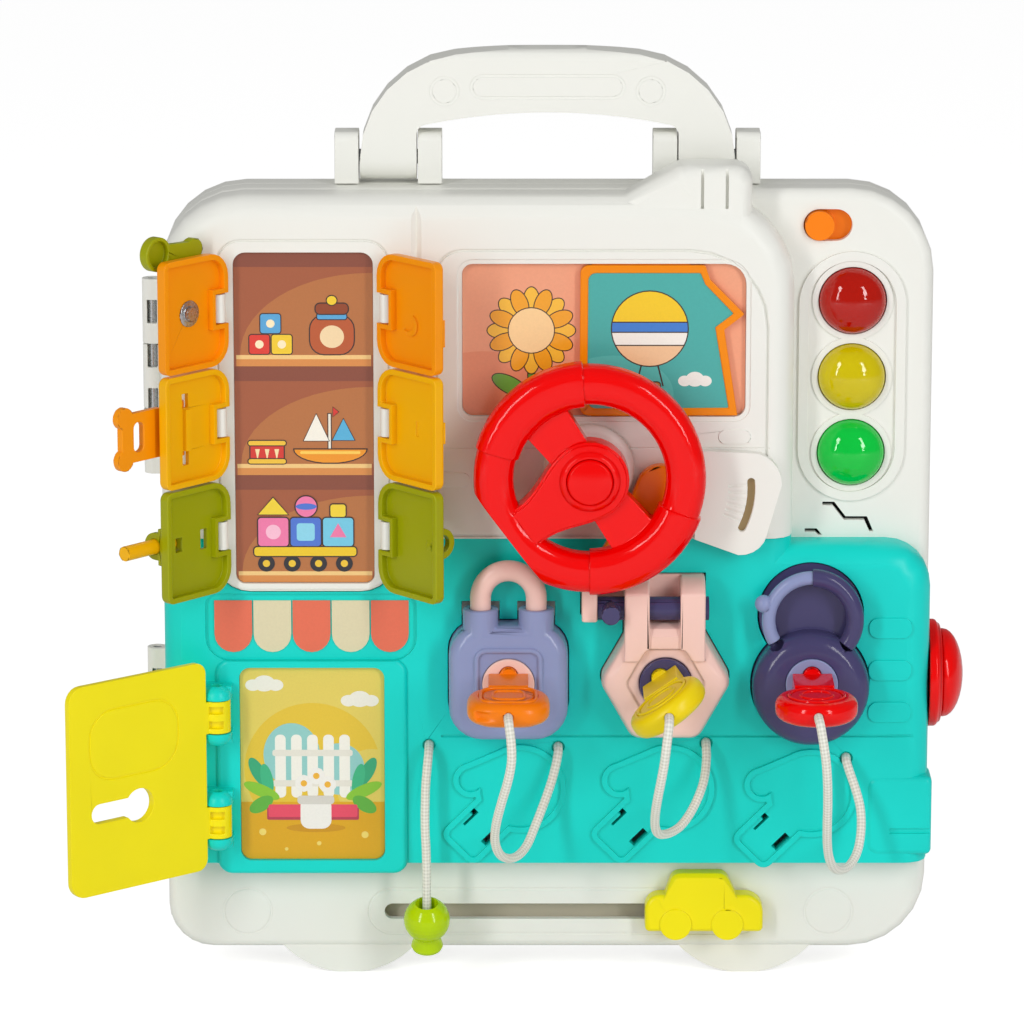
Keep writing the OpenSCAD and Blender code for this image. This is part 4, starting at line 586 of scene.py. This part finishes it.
draw(card, "#D9D6CE", 1, -12.8, 12.4, 3, sides=4, corner=1.2)
for across, up in ((-3, -7), (1.2, -4.4), (5, -7.4)):
    draw(card, "#F4F2EC", across, up, 6, 6, sides=10)
    draw(card, "#F2B632", across, up, 2.2, 2.2)
for across, up, size in ((-17, -24, 2.4), (17.5, -25, 2.4), (2, -28, 1.5), (-9, -30, 1.2)):
    draw(card, "#F3DA6E", across, up, size, size)
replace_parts(lay_card(card, "house_print", "front_half"), "house_picture")

# Five scallops of the awning in two inks
SCALLOPS = 5
card = take_card("awning_stickers", "#EC6F50", 3)
inks = card["sheet"].loops.layers.float_color["ink"]
scallop_width = 2 * card["half"].x / SCALLOPS
for face in card["sheet"].faces:
    place = face.calc_center_median().x - card["middle"].x + card["half"].x
    if int(place / scallop_width) % 2:
        for loop in face.loops:
            loop[inks] = paint("#E3D8B2")
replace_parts(lay_card(card, "awning_print", "front_half"), "awning_stickers")


# ---- Steering wheel and lever ----
# A red ABS wheel on a white spindle, with a button for the horn in its hub. The
# orange lever turns on its own pin behind it.

red_abs = moulded_abs("red_moulded_abs", "#F40000", roughness=0.12, cloud=0.02, peel_depth=0.02)
orange_abs = moulded_abs("orange_moulded_abs", "#FF8400", roughness=0.28, peel_depth=0.02)
moulding("steering_base", white_abs, edge=0.6)
moulding("steering_wheel", red_abs, edge=0.3)
moulding("horn_button", red_abs, edge=0.8)
moulding("indicator_lever", orange_abs, edge=0.8)


# ---- Lights, power switch and side button ----
# Three tinted acrylic domes over diodes, the orange switch in its slot, and the
# big red push button at the side of the case.


def tinted_acrylic(name, colour):
    """Tinted clear acrylic: deep colour, a hard gloss, and light that passes into it."""
    material, tree, shader = new_material(name)
    place = add_node(tree, "TexCoord").outputs["Object"]
    flow = add_node(tree, "TexNoise", {"Vector": place, "Scale": 1 / (9 * MM), "Detail": 2})
    base = paint(colour)
    deep = [c * 0.85 for c in base[:3]] + [1]
    shade = add_node(tree, "Mix", {"Factor": flow.outputs["Fac"], 6: deep, 7: base}, data_type="RGBA")
    tree.links.new(shade.outputs[2], shader.inputs["Base Color"])
    shader.inputs["Roughness"].default_value = 0.06
    shader.inputs["IOR"].default_value = 1.49
    shader.inputs["Transmission Weight"].default_value = 0.15
    return material


for colour, code, slot in (("red", "#C41400", "red_clear"), ("amber", "#E6D200", "yellow_clear"),
                           ("green", "#00DA48", "green_clear")):
    moulding(colour + "_lens", tinted_acrylic(colour + "_tinted_acrylic", code), edge=0.4)
moulding("power_switch", orange_abs, edge=0.2)
moulding("side_bezel", red_abs, edge=0.4)
moulding("side_button", red_abs, edge=0.8)


# ---- Sliders ----
# A yellow car that runs in the slot of the bottom strip, and the orange framed
# pane that slides in the grooves of the bus window.

yellow_abs = moulded_abs("yellow_moulded_abs", "#FFEE00", roughness=0.3)
amber_abs = moulded_abs("amber_moulded_abs", "#FBBA00", roughness=0.32)
frame_orange = moulded_abs("pane_frame_abs", "#F98E00", roughness=0.3)
moulding("car_slider", yellow_abs, edge=0.25)
moulding("window_slider", frame_orange, edge=0.4)

# The pane's own print, a hot air balloon, fills the sunk face of the slider
PANE_CARD = 0.3 * MM
PANE_RIM = Vector((3, 0, 3.4)) * MM
SUNK_FACE = (0.5 * MM, 1.1 * MM)
low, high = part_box("window_slider")
pane = bmesh.new()
pane.from_mesh(frame["nodes"]["window_slider"].data)
bmesh.ops.remove_doubles(pane, verts=pane.verts, dist=WELD)
others = []
for face in pane.faces:
    depth = face.calc_center_median().y - low.y
    if face.normal.y >= -0.99 or not SUNK_FACE[0] < depth < SUNK_FACE[1]:
        others.append(face)
bmesh.ops.delete(pane, geom=others, context="FACES")
print_front = min(vert.co.y for vert in pane.verts) - PANE_CARD
card_walls = bmesh.ops.extrude_face_region(pane, geom=pane.faces[:])
raised = [part for part in card_walls["geom"] if isinstance(part, bmesh.types.BMVert)]
bmesh.ops.translate(pane, vec=(0, -PANE_CARD, 0), verts=raised)
bmesh.ops.recalc_face_normals(pane, faces=pane.faces[:])
ink_all(pane, "#46AFA8")
card = {"sheet": pane, "front": print_front, "top": print_front, "middle": (low + high) / 2,
        "half": (high - low) / 2 - PANE_RIM, "corner": 2.6 * MM}
draw(card, "#57BDB5", -16, -18, 40, 26, sides=40)
for side in (-1, 1):
    draw(card, INK_LINE, side * 3.4 - 4, -11, 0.5, 9, sides=4, turn=side * 14)
draw(card, "#F7C99A", -4, 4, 25, 25, sides=40, line=0.4, keep=(-9, -1.4))
draw(card, "#F8F4EA", -4, 4, 25, 25, sides=40, line=0.4, keep=(-1.4, 3))
draw(card, "#3E7FD2", -4, 4, 25, 25, sides=40, line=0.4, keep=(3, 6.4))
draw(card, "#F8CD14", -4, 4, 25, 25, sides=40, line=0.4, keep=(6.4, 18))
draw(card, "#C07A40", -4, -16.4, 7, 4.6, sides=4, corner=1, line=0.4)
for across, up, size in ((14, -13, 5), (17.4, -13.6, 3.6), (10.6, -13.6, 3.6)):
    draw(card, "#F4F2EA", across - 3, up, size * 1.2, size)
lay_card(card, "pane_print", frame["nodes"]["window_slider"]["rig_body"])


# ---- Cupboard doors ----
# Six little doors of coloured ABS, each snapped on a white barrel and held by a
# latch of its own: a turning bar, a hasp and a sliding bolt.

door_orange = moulded_abs("orange_door_abs", "#FF9C00", roughness=0.32)
olive_abs = moulded_abs("olive_moulded_abs", "#A3A800", roughness=0.32)
for side in ("left", "right"):
    moulding("door_top_" + side, door_orange, edge=0.1)
    moulding("door_middle_" + side, amber_abs, edge=0.2)
    moulding("door_bottom_" + side, olive_abs, edge=0.25)
moulding("turn_latch", olive_abs, edge=0.3)
moulding("latch_screw", plated_steel, edge=0.25)
moulding("hasp", door_orange, edge=0.2)
moulding("slide_bolt", amber_abs, edge=0.25)


# ---- House door ----
# One thin yellow ABS leaf with a keyhole, on two split barrels between the
# brackets of the turquoise panel.

moulding("house_door", yellow_abs, edge=0.15)


# ---- Locks and keys ----
# Three toy locks that stand through the turquoise panel, each with a turning cylinder.
# The keys are thick ABS. Their bows carry raised rings, and their three lobes fit any cylinder.

# The bows of the keys, in mm
BOW_RADIUS = 13.6
BOW_FACE = 3.9
BOW_RINGS = (9.1, 5.2)
RING_RADIUS = 0.6
BOW_PLACES = {"one": Vector((-4.2, -32.6, 107.4)), "two": Vector((48.15, -32.6, 107.4)),
              "three": Vector((96.9, -32.6, 107.4))}
lilac_abs = moulded_abs("lilac_moulded_abs", "#929DC8", roughness=0.2, peel_depth=0.02)
pink_abs = moulded_abs("pink_moulded_abs", "#FBD3C8", roughness=0.22, peel_depth=0.02)
navy_abs = moulded_abs("navy_moulded_abs", "#4A4670", roughness=0.16, peel_depth=0.02)
key_yellow_abs = moulded_abs("key_yellow_abs", "#F6DA00", roughness=0.32, peel_depth=0.02)
moulding("lock_one_body", lilac_abs, edge=0.5, rim=3)
moulding("lock_two_body", pink_abs, edge=0.7)
moulding("lock_three_body", navy_abs, edge=0.3)
moulding("lock_one_cylinder", pink_abs, edge=0.3)
moulding("lock_two_cylinder", navy_abs, edge=0.3)
moulding("lock_three_cylinder", lilac_abs, edge=0.3)


def squared_bow(solid):
    """Swells the round bow of key one between its four quarters, towards a rounded square."""
    middle, edge_gap, swell = BOW_PLACES["one"].xy * MM, 0.1, 0.11
    for vert in solid.verts:
        arm = vert.co.xy - middle
        if 0 < arm.length < (BOW_RADIUS + edge_gap) * MM:
            diagonal = 2 * arm.x * arm.y / arm.length ** 2
            vert.co.xy = middle + arm * (1 + swell * diagonal ** 2 * (arm.length / (BOW_RADIUS * MM)) ** 2)


moulding("key_one", orange_abs, edge=0.3, reshape=squared_bow)
moulding("key_two", key_yellow_abs, edge=0.3)
moulding("key_three", red_abs, edge=0.3)


def bow_rings(number, finish, squareness=2.0, tilt=0.0):
    """Raised rings on both faces of the bow, round or as rounded squares, the outer in its groove."""
    rings = bmesh.new()
    for face in (-BOW_FACE, BOW_FACE):
        for radius in BOW_RINGS:
            stand = Matrix.Translation((radius, 0, face)) @ Matrix.Rotation(math.radians(90), 4, "X")
            section = bmesh.ops.create_circle(rings, segments=8, radius=RING_RADIUS, matrix=stand)["verts"]
            wire = section + [edge for edge in rings.edges if edge.is_wire]
            bmesh.ops.spin(rings, geom=wire, axis=(0, 0, 1), angle=2 * math.pi, steps=64, use_merge=True)
    for vert in rings.verts:
        arm = vert.co.xy
        ahead, across = arm.normalized()
        reach = (abs(ahead) ** squareness + abs(across) ** squareness) ** (-1 / squareness)
        radius = min(BOW_RINGS, key=lambda ring: abs(ring - arm.length))
        vert.co.xy = arm + arm.normalized() * radius * (reach - 1)
    tilted = Matrix.Rotation(math.radians(tilt), 3, "Y")
    bmesh.ops.rotate(rings, verts=rings.verts, cent=(0, 0, 0), matrix=tilted)
    bmesh.ops.translate(rings, verts=rings.verts, vec=BOW_PLACES[number])
    bmesh.ops.scale(rings, verts=rings.verts, vec=(MM, MM, MM))
    bmesh.ops.recalc_face_normals(rings, faces=rings.faces)
    piece = link_piece(f"key_{number}_rings", rings, finish)
    piece.data.shade_smooth()
    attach(piece, f"lock_{number}_turning")


bow_rings("one", orange_abs, squareness=4.0)
bow_rings("two", key_yellow_abs, tilt=-35)
bow_rings("three", red_abs)
moulding("shackle_one", pink_abs, edge=0.5)
moulding("bolt_two", navy_abs, edge=0.2)
moulding("shackle_three", lilac_abs, edge=0.15)


# ---- Bead ----
# A turned and dyed lime bead with a small skirt, threaded on its cord.

bead_paint = moulded_abs("lime_dyed_bead", "#BCDC00", roughness=0.14, peel_depth=0.02)
bead = frame["nodes"]["bead"].data
bead.materials.clear()
bead.materials.append(bead_paint)


# ---- Stage ----
# White paper under and behind the board, an even sky, and a tall narrow soft box on either
# side in front of it. Paper and sky look white, but the light that they give is weaker.

FLOOR_HALF = 4
PAPER_GLOW = 0.55
SKY_LIGHT = 0.46
SKY_MIRRORED = 0.18
SOFT_BOX_WIDTH = 0.2
SOFT_BOX_HEIGHT = 1.1
SOFT_BOX_POWER = 8.8
SOFT_BOX_PLACES = {"left": (-0.95, -1.25, 0.75), "right": (0.95, -1.25, 0.75)}


def seen_directly(tree):
    """1 for what the camera sees, also through a clear piece, and 0 for what only lights the board."""
    rays = add_node(tree, "LightPath").outputs
    direct = {0: rays["Is Camera Ray"], 1: rays["Is Transmission Ray"]}
    return add_node(tree, "Math", direct, operation="MAXIMUM").outputs[0]


paper, tree, shader = new_material("white_paper_sweep")
shader.inputs["Base Color"].default_value = paint("#F6F6F6")
shader.inputs["Roughness"].default_value = 0.9
shader.inputs["Specular IOR Level"].default_value = 0.1
shader.inputs["Emission Color"].default_value = paint("#FFFFFF")
glow = add_node(tree, "MapRange", {"Value": seen_directly(tree), "To Max": PAPER_GLOW})
tree.links.new(glow.outputs["Result"], shader.inputs["Emission Strength"])
floor_sheet = bmesh.new()
bmesh.ops.create_grid(floor_sheet, x_segments=1, y_segments=1, size=FLOOR_HALF)
link_piece("floor", floor_sheet, paper)

sky = bpy.data.worlds.new("studio")
scene.world = sky
sky.use_nodes = True
tree = sky.node_tree
tree.nodes.clear()
even = add_node(tree, "MapRange", {"Value": seen_directly(tree), "To Min": SKY_LIGHT, "To Max": 1.0})
mirrored = add_node(tree, "LightPath").outputs["Is Glossy Ray"]
dimmed = add_node(tree, "Math", {0: mirrored, 1: SKY_MIRRORED - SKY_LIGHT, 2: even.outputs["Result"]},
                  operation="MULTIPLY_ADD")
light = add_node(tree, "Background", {"Color": paint("#FFFFFF"), "Strength": dimmed.outputs[0]})
add_node(tree, "OutputWorld", {"Surface": light.outputs["Background"]})

for side, place in SOFT_BOX_PLACES.items():
    lamp = bpy.data.lights.new(side + "_soft_box", "AREA")
    lamp.shape = "RECTANGLE"
    lamp.size = SOFT_BOX_WIDTH
    lamp.size_y = SOFT_BOX_HEIGHT
    lamp.energy = SOFT_BOX_POWER
    holder = bpy.data.objects.new(side + "_soft_box", lamp)
    scene.collection.objects.link(holder)
    holder.location = place
    holder.rotation_euler = (VIEW_TARGET - Vector(place)).to_track_quat("-Z", "Y").to_euler()
